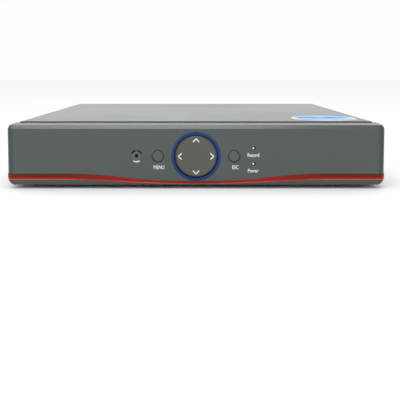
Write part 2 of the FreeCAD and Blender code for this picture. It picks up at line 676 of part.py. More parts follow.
def dpad_cradle():
    """Cup behind the pad that carries the gimbal between two yokes; its floor lets the posts through."""
    wall = s.panel_wall
    start = wall + 1
    floor_y = s.mat_deep - s.dome_high - s.key_gap - s.cup_floor - 0.2
    tube = rod("cup_tube", cup_rad, floor_y + s.cup_floor - start, (0, face_y + start, key_z))
    room = rod("cup_room", cup_rad - s.cup_wall, floor_y - start, (0, face_y + start, key_z))
    tools = [room]
    tools += [rod("cup_hole", s.cap_post_rad + 0.8, s.cup_floor + 2, (x, face_y + floor_y - 1, key_z + z))
              for x, z in four_ways(post_x)]
    cup = cut("cup_cut", tube, tools)
    front = s.pivot_deep - 1.3
    yokes = [box("cup_yoke", (x, face_y + front, key_z - 1.5), (s.yoke_thick, floor_y - front + 0.5, rule(3)))
             for x in (yoke_in, -yoke_in - s.yoke_thick)]
    ear, foot = s.ear_w, cup_rad + s.fit_play
    ears = []
    for low in (-foot - ear, foot):
        ears.append(box("cup_ear_foot", (low, face_y + wall, key_z - 3), (ear, rule(3), rule(6))))
    for low in (-foot - ear, cup_rad - s.cup_wall / 2):
        ears.append(box("cup_ear", (low, face_y + start, key_z - 3), (ear + s.fit_play + s.cup_wall / 2,
                                                                      rule(4), rule(6))))
    whole = fuse("cup_whole", [cup] + yokes + ears)
    reach = yoke_in + s.yoke_thick + 1
    hole = rod("cup_pin_hole", s.pin_rad + s.pin_play, reach * 2, (-reach, face_y + s.pivot_deep, key_z), "x")
    return node("dpad_cradle", cut("cup_bored", whole, [hole]))


def round_button(name, x):
    """Round push button with a retaining flange behind the wall and a stem to its dome."""
    wall = s.panel_wall
    stem_end = s.mat_deep - s.dome_high - s.key_gap
    body = spun(name + "_turned", [
        (0, -0.15), (s.button_rad - 0.7, -0.1), (s.button_rad, 0.4), (s.button_rad, wall + 0.15),
        (s.button_rad + s.button_brim, wall + 0.15), (s.button_rad + s.button_brim, wall + 1.15),
        (2.0, wall + 1.15),
        (2.0, stem_end), (0, stem_end)])
    return node(name, put(body, (x, face_y, key_z), TURN_REAR))


def light_pipe(name, height):
    """Clear rod from the face to just in front of its lamp."""
    body = spun(name + "_turned", [
        (0, -0.2), (s.light_rad - 0.4, -0.1), (s.light_rad, 0.2), (s.light_rad, s.panel_wall),
        (s.light_rad + 0.6, s.panel_wall), (s.light_rad + 0.6, s.panel_wall + 1),
        (s.light_rad, s.panel_wall + 1),
        (s.light_rad, 7.5), (0, 7.5)])
    return node(name, put(body, (s.record_x, face_y, low_z + height), TURN_REAR))


def ir_window():
    body = spun("eye_turned", [
        (0, -0.15), (s.eye_rad, 0), (s.eye_rad, s.panel_wall), (s.eye_rad + 1.2, s.panel_wall),
        (s.eye_rad + 1.2, s.panel_wall + 1), (0, s.panel_wall + 1)])
    return node("ir_window", put(body, (-s.eye_x, face_y, low_z + s.eye_z), TURN_REAR))


def key_board_set():
    """Rubber dome mat, key board, lamps and infrared receiver behind the panel."""
    mat_y = face_y + s.mat_deep
    board_y = mat_y + s.mat_thick
    mat_w = menu_x * 2 + 14
    mat = [block_at("mat_sheet", rule(0), mat_y, key_z - 14.5, (mat_w, s.mat_thick, rule(29)))]
    dome_y = mat_y - s.dome_high
    mat += [rod("mat_dome", rule(2.2), s.dome_high + 0.4, (x, dome_y, key_z + z))
            for x, z in four_ways(post_x)]
    mat += [rod("mat_dome", rule(2.6), s.dome_high + 0.4, (side * menu_x, dome_y, key_z))
            for side in (-1, 1)]
    node("key_mat", fuse("mat_whole", mat))
    board = block_at("key_board_sheet", rule(0), board_y, key_z - s.key_board_h / 2,
                     (s.key_board_w, s.board_thick, s.key_board_h))
    node("key_board", board)
    lamps = []
    for height in (s.light_high_z, s.light_low_z):
        lamps.append(rod("lamp", rule(1.5), board_y - face_y - 8, (s.record_x, face_y + 8, low_z + height)))
    node("status_leds", group("lamp_set", lamps))
    node("ir_receiver", block_at("receiver", -s.eye_x, face_y + 5, low_z + s.eye_z - 3.5,
                                 (rule(5), board_y - face_y - 5, rule(7))))
    return board_y + s.board_thick


# ---- main board ----

def main_board_set():
    """Main board with its chips, cooler, capacitors, coin cell and buzzer."""
    board_y = rear_in - s.board_back - s.board_d
    board = block_at("board_sheet", rule(0), board_y, board_z, (s.board_w, s.board_d, s.board_thick))
    holes = [rod("board_hole", s.screw_rad + 0.2, s.board_thick + 2, (x, y, board_z - 1), "z")
             for x, y in board_screw_spots()]
    node("main_board", cut("board_cut", board, holes))
    sink_y = board_y + 22
    fins = [block_at("sink_base", rule(10), sink_y, deck_z + 2, (s.sink_w, s.sink_w, rule(3)))]
    for number in range(11):
        fins.append(box("sink_fin", (10 - s.sink_w / 2 + s.fin_pitch * number, sink_y, deck_z + 4),
                        (s.fin_thick, s.sink_w, s.sink_h)))
    node("heat_sink", fuse("sink_whole", fins))
    chips = [block_at("main_chip", rule(10), sink_y + 7, deck_z, (rule(28), rule(28), rule(2)))]
    chips += [block_at("video_chip", 50 + 22 * number, sink_y + 10, deck_z, (rule(14), rule(14), rule(1.4)))
              for number in range(3)]
    chips += [block_at("memory_chip", rule(-24), sink_y + 2 + 14 * number, deck_z,
                       (rule(12), rule(8), rule(1.2)))
              for number in range(4)]
    node("video_chips", group("chip_set", chips))
    cans = [rod("can", s.cap_can_rad, s.cap_can_h,
                (-110 + 11 * (number % 4), board_y + 17 + 13 * (number // 4), deck_z), "z")
            for number in range(8)]
    node("capacitors", group("can_set", cans))
    cell_at = (62, board_y + 15)
    node("coin_cell", rod("cell", rule(10), rule(3.2), (*cell_at, deck_z + 1), "z"))
    cell_ring = rod("cell_holder", rule(11), rule(1), (*cell_at, deck_z), "z")
    buzz = rod("buzzer_can", rule(6), rule(8.5), (100, board_y + 14, deck_z), "z")
    node("buzzer_and_holder", group("buzzer_set", [buzz, cell_ring]))
    return board_y


# ---- jacks and sockets at the rear ----

def jack_shell():
    """Bayonet jack barrel on the origin, along +Z, with two lugs near its mouth."""
    long = tip_y - rear_in
    barrel = spun("barrel_turned", [
        (s.jack_bore, 0), (s.jack_flange, 0), (s.jack_flange, s.sheet_thick + 1.0),
        (s.jack_flange - 0.5, s.sheet_thick + 1.4),
        (s.jack_rad, s.sheet_thick + 1.4), (s.jack_rad, long - 0.4), (s.jack_rad - 0.3, long),
        (s.jack_bore, long)])
    lugs = [rod("barrel_lug", s.lug_rad, s.lug_high + 0.4, (start, 0, long - 4.5), "x")
            for start in (s.jack_rad - 0.4, -s.jack_rad - s.lug_high)]
    return fuse("barrel", [barrel] + lugs)


def jack_insulator():
    """White insulator: a plug at the bottom of the barrel and a sleeve round the contact."""
    long = tip_y - rear_in
    return spun("insulator_turned", [
        (1.25, 0), (s.jack_bore - 0.02, 0), (s.jack_bore - 0.02, 3), (2.4, 3), (2.4, long - 2.5),
        (1.25, long - 2.5)])


def jack_contact():
    long = tip_y - rear_in
    return spun("contact_turned", [(0, 0), (1.2, 0), (1.2, long - 3), (0.65, long - 3), (0.65, long - 8),
                                   (0, long - 8)])


def bayonet_jacks():
    """Sixteen camera inputs, one picture output, and the moulded blocks that carry them."""
    inputs = [(x, rear_in, z) for x, z in jack_spots]
    output = (s.out_x, rear_in, jack_high)
    shell = jack_shell()
    node("video_jack_shells", copies("shell_set", shell, inputs, TURN_REAR))
    node("video_out_shell", links_to("out_shell", shell, [output], TURN_REAR)[0])
    node("jack_insulators", copies("insulator_set", jack_insulator(), inputs + [output], TURN_REAR))
    node("jack_contacts", copies("contact_set", jack_contact(), inputs + [output], TURN_REAR))
    size = (s.jack_block_w, s.jack_block_d, s.jack_block_h)
    low_y = rear_in - s.jack_block_d
    node("video_jack_blocks", group("block_set", [block_at("jack_block", x, low_y, deck_z, size)
                                                  for x in jack_xs]))
    node("output_block", block_at("out_block", s.out_x, low_y, deck_z, size))


def sound_jacks():
    """Two sound inputs stacked on a block, and the gold sound output under the picture output."""
    out_long = s.sheet_thick + s.cover_gap + s.sheet_thick + s.sound_reach
    wide = spun("sound_out_turned", [
        (s.sound_bore, 0), (s.jack_flange, 0), (s.jack_flange, s.sheet_thick + 0.8),
        (s.sound_rad, s.sheet_thick + 0.8),
        (s.sound_rad, out_long - 0.4), (s.sound_rad - 0.3, out_long), (s.sound_bore, out_long)])
    node("audio_out_shell", put(wide, (s.out_x, rear_in, jack_low), TURN_REAR))
    plain = spun("sound_in_turned", [
        (s.sound_bore, 0), (s.sound_rad, 0), (s.sound_rad, out_long - 0.4), (s.sound_rad - 0.3, out_long),
        (s.sound_bore, out_long)])
    spots = [(s.sound_x, rear_in, z) for z in (s.sound_low_z, sound_high)]
    node("audio_in_shells", copies("sound_in_set", plain, spots, TURN_REAR))
    core = spun("sound_core_turned", [
        (1.6, 0), (s.sound_bore - 0.02, 0), (s.sound_bore - 0.02, 2.2), (2.9, 2.2), (2.9, out_long - 1.2),
        (1.6, out_long - 1.2)])
    node("audio_insulators", copies("sound_core_set", core, spots + [(s.out_x, rear_in, jack_low)],
                                    TURN_REAR))
    block = block_at("sound_block", s.sound_x, rear_in - 12, deck_z, (s.sound_block_w, rule(12), rule(27.5)))
    collars = [cut("sound_collar", rod("sound_collar_rod", s.sound_base, s.sheet_thick + 1.4,
                                       (s.sound_x, rear_in, z)),
                   [rod("sound_collar_bore", s.sound_rad + s.fit_play, rule(6),
                        (s.sound_x, rear_in - 0.01, z))])
               for z in (s.sound_low_z, sound_high)]
    node("audio_in_block", fuse("sound_block_whole", [block] + collars))


def d_outline(inset):
    """The display socket's rounded D (x, z), wide at the top, drawn in from the shell's outside."""
    half, rise, corner = s.vga_w / 2 - inset, s.vga_h / 2 - inset, s.vga_corner - inset
    lean = math.atan2(s.vga_slant.value, s.vga_h.value)
    side_x, side_z = math.sin(lean), math.cos(lean)
    sharp = corner / math.tan((math.pi / 2 - lean) / 2)
    blunt = corner / math.tan((math.pi / 2 + lean) / 2)
    foot = half - s.vga_slant
    right = [
        (half - sharp, rise, -corner), (half - sharp * side_x, rise - sharp * side_z),
        (foot + blunt * side_x, blunt * side_z - rise, -corner), (foot - blunt, -rise)]
    left = [
        (blunt - foot, -rise, -corner), (-foot - blunt * side_x, blunt * side_z - rise),
        (sharp * side_x - half, rise - sharp * side_z, -corner), (sharp - half, rise)]
    return [(s.vga_x + point[0], s.vga_z + point[1], *point[2:]) for point in right + left]


def display_sockets():
    """The fifteen-pin display socket with its jackscrews, and the flat high-definition socket."""
    x, z, wall = s.vga_x, s.vga_z, s.can_thick
    out_y = rear_face + s.vga_reach
    tube = slab("vga_tube", rear_in, out_y - rear_in, d_outline(rule(0)), d_outline(wall))
    plate = block_at("vga_plate", x, rear_in - 0.8, z - s.vga_plate_h / 2,
                     (s.vga_plate_w, rule(0.8), s.vga_plate_h))
    window = slab("vga_window", rear_in - 3, rule(3), d_outline(wall))
    thread = [rod("vga_thread", rule(1.6), rule(6), (x + side * s.vga_screw_x, rear_in - 3, z))
              for side in (-1, 1)]
    node("vga_shell", fuse("vga_shell_whole", [tube, cut("vga_plate_cut", plate, [window] + thread)]))
    core = slab("vga_core", rear_in - 0.8, s.vga_reach + s.sheet_thick - 0.4, d_outline(wall + s.core_play))
    block = block_at("vga_block", x, rear_in - 10.8, z - s.vga_plate_h / 2,
                     (s.vga_plate_w, rule(10), s.vga_plate_h))
    leg = block_at("vga_leg", x, rear_in - 18.8, deck_z,
                   (s.vga_plate_w - 8, rule(3), z + s.vga_plate_h / 2 - deck_z))
    neck = block_at("vga_neck", x, rear_in - 16, z - 2, (s.vga_plate_w - 8, rule(6), s.vga_plate_h / 2 + 2))
    pins = [rod("vga_pin_hole", rule(0.55), rule(9),
                (x + s.vga_pin_step * (column - 2) + shift, rear_in - 0.5, z + s.vga_pin_row * row))
            for row, shift in ((-1, 0.0), (0, 1.1), (1, 0.0)) for column in range(5)]
    bores = [rod("vga_bolt_room", rule(1.6), rule(5), (x + side * s.vga_screw_x, rear_in - 4.5, z))
             for side in (-1, 1)]
    node("vga_insulator", cut("vga_core_cut", fuse("vga_core_whole", [core, block, leg, neck]), pins + bores))
    posts = []
    for side in (-1, 1):
        at_x = x + side * s.vga_screw_x
        hexagon = doc.addObject("Part::Prism", "hex_nut")
        hexagon.Polygon = 6
        bind(hexagon, "Circumradius", s.hex_rad)
        bind(hexagon, "Height", s.vga_reach + s.sheet_thick)
        put(hexagon, (at_x, rear_in, z), TURN_REAR)
        stem = rod("hex_stem", rule(1.5), rule(4), (at_x, rear_in - 4, z))
        bore = rod("hex_bore", rule(1.25), rule(5.5), (at_x, out_y - 5, z))
        posts.append(cut("hex_screw", fuse("hex_blank", [hexagon, stem]), [bore]))
    node("vga_jackscrews", group("hex_set", posts))
    low, high, half = deck_z, deck_z + s.hd_h, s.hd_w / 2
    notch = rule(2.0)
    can_y = rear_face + s.socket_proud - s.hd_d

    def hd_outline(inset):
        left, right = s.hd_x - half + inset, s.hd_x + half - inset
        return [(left, high - inset), (right, high - inset), (right, low + notch + inset * 0.4),
                (right - notch + inset * 0.4, low + inset), (left + notch - inset * 0.4, low + inset),
                (left, low + notch + inset * 0.4)]

    can = slab("hd_can", can_y, s.hd_d, hd_outline(rule(0)), hd_outline(wall))
    node("hd_socket_shell", can)
    back = slab("hd_back", can_y, rule(3), hd_outline(wall + 0.05))
    tongue = block_at("hd_tongue", s.hd_x, can_y + 2, low + s.hd_h * 0.45,
                      (s.hd_w - 3.4, s.hd_d - 3, rule(1.4)))
    node("hd_socket_tongue", fuse("hd_core", [back, tongue]))


def network_stack():
    """Network socket over two USB sockets in one metal can with a moulded insert."""
    out_y = rear_face + s.socket_proud
    low_y = out_y - s.net_d
    wall = s.can_thick
    can = block_at("net_can", s.net_x, low_y, deck_z, (s.net_w, s.net_d, s.net_h))
    room = block_at("net_room", s.net_x, low_y - 1, deck_z + wall,
                    (s.net_w - wall * 2, s.net_d + 1 - wall, s.net_h - wall * 2))
    plug_low = deck_z + s.net_plug_low
    mouths = [block_at("net_mouth", s.net_x, out_y - 14, plug_low, (s.plug_w, rule(15), s.net_plug_h))]
    mouths.append(block_at("net_notch", s.net_x, out_y - 14, plug_low + 6,
                           (rule(7.2), rule(15), s.net_plug_h - 4.2)))
    mouths.append(block_at("net_key", s.net_x, out_y - 14, plug_low + 8,
                           (rule(4.8), rule(15), s.net_plug_h - 4.8)))
    usb_lows = [deck_z + s.usb_low + s.usb_rise * number for number in range(2)]
    mouths += [block_at("usb_mouth", s.net_x, out_y - 12, low, (s.plug_w, rule(13), s.usb_h))
               for low in usb_lows]
    lamp = (rule(4), rule(4), rule(2.2))
    lamp_z = deck_z + s.net_h - 4.2
    lamp_xs = [s.net_x - 6.6, s.net_x + 6.6]
    lamp_rooms = [block_at("lamp_room", x, out_y - 4, lamp_z, (lamp[0], rule(6), lamp[2])) for x in lamp_xs]
    node("network_usb_shell", cut("net_shell", can, [room] + mouths + lamp_rooms))
    insert = block_at("net_fill", s.net_x, low_y, deck_z + wall + s.fit_play,
                      (s.net_w - (wall + s.fit_play) * 2, s.net_d - wall - s.fit_play,
                       s.net_h - (wall + s.fit_play) * 2))
    carved = cut("net_carved", insert, mouths + lamp_rooms)
    tongues = [block_at("usb_tongue", s.net_x, out_y - 12.5, low + 0.7,
                        (s.plug_w - 1.4, rule(11.5), rule(1.8)))
               for low in usb_lows]
    node("network_usb_insert", fuse("net_insert", [carved] + tongues))
    node("network_leds", group("net_lamps", [block_at("net_lamp", x, out_y - 3.9, lamp_z + 0.05,
                                                      (rule(3.9), rule(3.9), rule(2.1))) for x in lamp_xs]))


def small_sockets():
    """Green two-way terminal and the direct-current inlet with its centre pin."""
    out_y = rear_face + s.socket_proud
    block = block_at("term_block", s.term_x, out_y - s.term_d, deck_z, (s.term_w, s.term_d, s.term_h))
    entries = [block_at("term_entry", s.term_x + side * s.term_w / 4, out_y - 6, deck_z + 1.2,
                        (rule(2.6), rule(7), rule(3)))
               for side in (-1, 1)]
    wells = [rod("term_well", rule(1.3), rule(3), (s.term_x + side * s.term_w / 4, out_y - 3.5,
                                                   deck_z + s.term_h - 2), "z")
             for side in (-1, 1)]
    node("terminal_block", cut("term_cut", block, entries + wells))
    body = block_at("dc_body", s.dc_x, out_y - s.dc_d, deck_z, (s.dc_w, s.dc_d, s.dc_h))
    bore = rod("dc_bore_tool", s.dc_bore, rule(10), (s.dc_x, out_y - 9.5, deck_z + s.dc_bore_z))
    seat = rod("dc_seat", s.dc_pin, rule(4), (s.dc_x, out_y - 12, deck_z + s.dc_bore_z))
    node("dc_jack_body", cut("dc_cut", body, [bore, seat]))
    node("dc_jack_pin", rod("dc_pin_rod", s.dc_pin, rule(11), (s.dc_x, out_y - 12, deck_z + s.dc_bore_z)))


# ---- drive, fan and leads ----

def hard_drive():
    """Three-and-a-half inch drive lying across the front half, with its lid and its board."""
    lid = rule(0.8)
    body = block_at("drive_block", drive_x, drive_y, drive_z, (s.drive_w, s.drive_d, s.drive_h))
    bores = [rod("drive_bore", s.screw_rad + s.fit_play, rule(5), (x, y, drive_z - 1), "z")
             for x, y in drive_screw_spots()]
    tray_room = block_at("drive_board_room", drive_x - 45, drive_y + 18, drive_z - 1,
                         (rule(40), s.drive_d - 36, rule(3)))
    node("hard_drive_casting", cut("drive_cut", body, bores + [tray_room]))
    node("hard_drive_lid", block_at("drive_lid", drive_x, drive_y + 3, drive_z + s.drive_h,
                                    (s.drive_w - 6, s.drive_d - 6, lid)))
    node("hard_drive_board", block_at("drive_board", drive_x - 45, drive_y + 19, drive_z + 0.2,
                                      (rule(38), s.drive_d - 38, rule(1.6))))


def fan():
    """Small case fan on the side wall: square frame with a hub on three struts, and its rotor."""
    half = s.fan_size / 2
    mid_z = fan_z + half
    frame = box("fan_block", (fan_x, s.fan_y - half, fan_z), (s.fan_deep, s.fan_size, s.fan_size))
    bore = rod("fan_bore_tool", fan_bore, s.fan_deep + 2, (fan_x - 1, s.fan_y, mid_z), "x")
    rim = cut("fan_rim", frame, [bore])
    plate_x = fan_x + s.fan_deep - 1.6
    hub = rod("fan_hub_plate", s.hub_rad, rule(1.6), (plate_x, s.fan_y, mid_z), "x")
    bars = [box("fan_bar", (plate_x, s.fan_y - fan_bore - 0.4, mid_z - 1),
                (rule(1.6), fan_bore * 2 + 0.8, rule(2))),
            box("fan_bar", (plate_x, s.fan_y - 1, mid_z - fan_bore - 0.4),
                (rule(1.6), rule(2), fan_bore * 2 + 0.8))]
    shaft = rod("fan_shaft", s.shaft_rad, s.fan_deep - 3, (fan_x + 2, s.fan_y, mid_z), "x")
    node("fan_frame", fuse("fan_frame_whole", [rim, hub, shaft] + bars))
    rotor_x = fan_x + 0.8
    rotor_long = s.fan_deep - 0.8 - 1.6 - 0.5
    pieces = [rod("rotor_hub", s.hub_rad, rotor_long, (rotor_x, s.fan_y, mid_z), "x")]
    for number in range(7):
        blade = doc.addObject("Part::Box", "rotor_blade")
        bind(blade, "Length", rotor_long * 0.8)
        bind(blade, "Width", 1.0)
        bind(blade, "Height", blade_rad - s.hub_rad + 1.0)
        pitch = FreeCAD.Rotation(FreeCAD.Vector(0, 0, 1), 32)
        spoke = FreeCAD.Rotation(FreeCAD.Vector(1, 0, 0), 360 / 7 * number)
        turn = spoke.multiply(pitch)
        out = spoke.multVec(FreeCAD.Vector(0, 0, 1))
        reach = s.hub_rad - 1.0
        put(blade, (rotor_x + 0.7, s.fan_y + reach * out.y, mid_z + reach * out.z), turn)
        pieces.append(blade)
    whole = fuse("rotor_blank", pieces)
    trim = rod("rotor_trim", blade_rad, s.fan_deep, (fan_x, s.fan_y, mid_z), "x")
    turned = doc.addObject("Part::Common", "rotor_trimmed")
    turned.Base, turned.Tool = whole, trim
    hole = rod("rotor_bore", s.shaft_rad + s.run_play, s.fan_deep, (rotor_x + 1, s.fan_y, mid_z), "x")
    node("fan_rotor", cut("rotor_whole", turned, [hole]))


def lead_shape(points, radius):
    """A round lead along straight runs joined by tangent arcs as large as the runs allow."""
    spots = [FreeCAD.Vector(*[rule(value).value for value in point]) for point in points]
    edges = []
    start = spots[0]
    for before, corner, after in zip(spots, spots[1:], spots[2:]):
        back = (before - corner).normalize()
        ahead = (after - corner).normalize()
        trim = 0.45 * min((before - corner).Length, (after - corner).Length)
        turn = math.pi - back.getAngle(ahead)
        bend = trim / math.tan(turn / 2)
        first, last = corner + back * trim, corner + ahead * trim
        centre = corner + (back + ahead).normalize() * math.hypot(bend, trim)
        middle = centre + (corner - centre).normalize() * bend
        edges.append(Part.LineSegment(start, first).toShape())
        edges.append(Part.Arc(first, middle, last).toShape())
        print(f"lead bend radius {bend:.1f}")
        start = last
    edges.append(Part.LineSegment(start, spots[-1]).toShape())
    path = Part.Wire(edges)
    section = Part.Wire(Part.Circle(spots[0], spots[1] - spots[0], radius.value).toShape())
    pipe = path.makePipeShell([section], True, False)
    full = math.pi * radius.value ** 2 * path.Length
    print(f"lead volume {pipe.Volume:.0f} of {full:.0f}, long {path.Length:.0f}")
    return pipe


def lead(name, points, radius):
    piece = doc.addObject("Part::Feature", name)
    piece.Shape = lead_shape(points, radius)
    return piece


def leads(board_front, key_back):
    """Data and power leads of the drive, the fan's lead, and the lead of the key board."""
    end_x = drive_x - s.drive_w / 2
    plug_z = drive_z + 5
    rad = s.lead_rad
    data_x, power_x, key_x = end_x - 20, end_x - 30, end_x - 40
    data = [(end_x, drive_y + 44, plug_z), (end_x - 16, drive_y + 44, plug_z),
            (end_x - 22, drive_y + 72, plug_z + 4),
            (data_x, board_front - 6, deck_z + 9), (data_x, board_front + 9, deck_z + 9),
            (data_x, board_front + 9, deck_z)]
    power = [(end_x, drive_y + 26, plug_z), (end_x - 22, drive_y + 26, plug_z),
             (end_x - 31, drive_y + 62, plug_z + 4),
             (power_x, board_front - 6, deck_z + 9), (power_x, board_front + 9, deck_z + 9),
             (power_x, board_front + 9, deck_z)]
    fan_in = fan_x + s.fan_deep
    fan_end = s.fan_y + s.fan_size / 2
    cool = [(fan_in - 2, fan_end, floor_z + 3), (fan_in - 2, fan_end + 12, floor_z + 3),
            (fan_in + 5, board_front - 8, deck_z + 6), (fan_in + 6, board_front + 5, deck_z + 6),
            (fan_in + 6, board_front + 5, deck_z)]
    key_start = -s.window_half + s.lead_rad + 2.4
    key = [(key_start, key_back, key_z - 2), (key_start, key_back + 14, key_z - 2),
           (key_x, drive_y + 34, drive_z + 6),
           (key_x - 1, board_front - 10, deck_z + 8), (key_x, board_front + 5, deck_z + 8),
           (key_x, board_front + 5, deck_z)]
    node("drive_leads", group("drive_lead_set", [lead("data_lead", data, rad),
                                                 lead("power_lead", power, rad)]))
    node("signal_leads", group("signal_lead_set", [lead("fan_lead", cool, s.shaft_rad),
                                                   lead("key_lead", key, rad)]))


chassis_tray()
rear_label()
top_cover()
screws()
sealed_screw()
rubber_feet()
top_sticker()
front_panel()
red_accent_strip()
blue_ring()
dpad_cap()
dpad_pivot()
dpad_cradle()
round_button("menu_button", -menu_x)
round_button("esc_button", menu_x)
light_pipe("record_light_pipe", s.light_high_z)
light_pipe("power_light_pipe", s.light_low_z)
ir_window()
key_back = key_board_set()
board_front = main_board_set()
bayonet_jacks()
sound_jacks()
display_sockets()
network_stack()
small_sockets()
hard_drive()
fan()
leads(board_front, key_back)
doc.recompute()

failed = [thing.Label for thing in doc.Objects if "Invalid" in thing.State or "Error" in thing.State]
if failed:
    raise SystemExit(f"failed objects: {failed}")
os.makedirs("parts", exist_ok=True)
for piece in nodes:
    shape = piece.Shape
    if shape.isNull() or not shape.isValid() or not shape.Solids:
        raise SystemExit(f"bad shape: {piece.Label}")
    print(f"{piece.Label}: {len(shape.Solids)} solid(s), {shape.Volume:.1f} mm3")
for piece in nodes:
    piece.Shape.exportStep(f"parts/{piece.Label}.step")
print(f"{len(nodes)} nodes written")
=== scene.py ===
# %% [markdown]
# # A digital video recorder, finished around its working model
# The recorder's frame, screws, keys and sockets come ready made, each as a named node in metres. This
# lesson gives every one of them a real finish, and adds the printing, the key's arrows and the small
# contacts that a working model leaves out. Front faces -Y, +X is to the right, +Z is up.

# %% Load the frame
import math

import bmesh
import bpy
from mathutils import Matrix, Vector


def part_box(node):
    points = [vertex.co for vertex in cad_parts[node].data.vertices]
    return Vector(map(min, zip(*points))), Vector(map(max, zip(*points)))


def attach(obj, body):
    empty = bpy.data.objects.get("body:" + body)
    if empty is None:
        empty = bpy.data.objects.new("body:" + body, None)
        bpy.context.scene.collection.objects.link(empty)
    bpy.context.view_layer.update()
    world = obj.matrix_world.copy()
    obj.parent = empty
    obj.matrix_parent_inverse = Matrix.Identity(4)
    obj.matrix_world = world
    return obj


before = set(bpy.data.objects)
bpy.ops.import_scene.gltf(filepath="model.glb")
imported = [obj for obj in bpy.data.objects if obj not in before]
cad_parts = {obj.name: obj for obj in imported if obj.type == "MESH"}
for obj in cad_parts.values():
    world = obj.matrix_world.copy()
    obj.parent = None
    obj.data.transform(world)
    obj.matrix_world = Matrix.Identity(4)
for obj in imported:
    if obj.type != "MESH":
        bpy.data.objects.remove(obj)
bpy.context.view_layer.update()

MM = 0.001
scene = bpy.context.scene

# %% [markdown]
# ## Places that the pieces share
# Everything printed or added sits on a face of the working model, so its place is read from the boxes of
# the nodes. A box is the lowest and the highest corner of a node; a small helper gives its middle.

# %% Read the faces
def middle(node):
    """The middle of a node's box."""
    low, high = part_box(node)
    return (low + high) / 2


panel_low, panel_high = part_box("front_panel")
cover_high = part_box("top_cover")[1]
FACE = panel_low.y
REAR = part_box("rear_label")[1].y
pad_centre = middle("blue_ring")
print("front face at", round(FACE / MM, 2), "mm, printed rear sheet at", round(REAR / MM, 2), "mm")

# %% [markdown]
# ## Camera, floor and light
# The recorder is looked at from a little above the cover, from close by, so that the top narrows quickly
# towards the back. The camera is tipped only a few degrees, and a lens shift does the rest of bringing the
# recorder into the upper half of the frame, so that upright edges stay nearly upright. The room is a white
# sweep: a pale floor, a white surround, a broad soft light overhead, a narrow one that catches the sloping
# brow of the panel, and one from the left.

# %% Camera
CAMERA_REACH = 402 * MM
CAMERA_ABOVE_COVER = 36 * MM
CAMERA_DOWN_DEGREES = 4.0
camera_data = bpy.data.cameras.new("camera")
camera = bpy.data.objects.new("camera", camera_data)
scene.collection.objects.link(camera)
scene.camera = camera
camera_data.lens = 54.25
camera_data.sensor_width = 36
camera_data.shift_x = 0.0099
camera_data.shift_y = -0.221
camera_data.clip_start = 0.01
camera_data.clip_end = 30
camera.location = (0, FACE - CAMERA_REACH, cover_high.z + CAMERA_ABOVE_COVER)
camera.rotation_euler = (math.radians(90 - CAMERA_DOWN_DEGREES), 0, 0)
print("camera", tuple(round(value, 3) for value in camera.location))

# %% Floor, surround and lights
def area_light(name, place, aim, wide, high, power, colour=(1, 1, 1)):
    """A soft light panel at a place, turned towards an aim."""
    data = bpy.data.lights.new(name, "AREA")
    data.shape = "RECTANGLE"
    data.size, data.size_y = wide, high
    data.energy = power
    data.color = colour
    light = bpy.data.objects.new(name, data)
    scene.collection.objects.link(light)
    light.location = place
    light.rotation_euler = (Vector(aim) - Vector(place)).to_track_quat("-Z", "Y").to_euler()


world = bpy.data.worlds.new("white room")
scene.world = world
world.use_nodes = True
world.node_tree.nodes["Background"].inputs["Color"].default_value = (0.98, 0.99, 1.0, 1)
world.node_tree.nodes["Background"].inputs["Strength"].default_value = 1.0
scene.view_settings.view_transform = "Standard"
area_light("overhead", (0, 0.1, 1.0), (0, 0, 0), 0.8, 0.8, 1.0)
area_light("brow light", (-0.12, -0.64, 0.9), (0, -0.12, 0.04), 0.7, 0.15, 2.4, (0.93, 0.97, 1.0))
area_light("left", (-1.0, -0.5, 0.4), (0, 0, 0), 0.5, 0.5, 0.8)

floor_mesh = bmesh.new()
bmesh.ops.create_grid(floor_mesh, x_segments=1, y_segments=1, size=4)
floor_data = bpy.data.meshes.new("floor")
floor_mesh.to_mesh(floor_data)
floor_mesh.free()
floor = bpy.data.objects.new("floor", floor_data)
scene.collection.objects.link(floor)

# %% [markdown]
# ## Writing a material as sums
# A material's pattern is arithmetic on the place of each point. Wrapping a socket in a small class lets
# that arithmetic be written as ordinary Python, and each operator adds the Math node that does it.

# %% The wrapper and the paint box
class Wire:
    """A value on its way between shader nodes."""

    def __init__(self, paint, socket):
        self.paint = paint
        self.socket = socket

    def maths(self, operation, first, second=0.0):
        return self.paint.node("ShaderNodeMath", {"operation": operation}, {0: first, 1: second})

    def __add__(self, other):
        return self.maths("ADD", self, other)

    def __sub__(self, other):
        return self.maths("SUBTRACT", self, other)

    def __mul__(self, other):
        return self.maths("MULTIPLY", self, other)

    def __truediv__(self, other):
        return self.maths("DIVIDE", self, other)

    def __pow__(self, other):
        return self.maths("POWER", self, other)

    def __gt__(self, other):
        return self.maths("GREATER_THAN", self, other)

    def __lt__(self, other):
        return self.maths("LESS_THAN", self, other)

    def __radd__(self, other):
        return self.maths("ADD", other, self)

    def __rsub__(self, other):
        return self.maths("SUBTRACT", other, self)

    def __abs__(self):
        return self.maths("ABSOLUTE", self)

    def clamped(self):
        """Held between nought and one."""
        return self.maths("MINIMUM", self.maths("MAXIMUM", self, 0.0), 1.0)


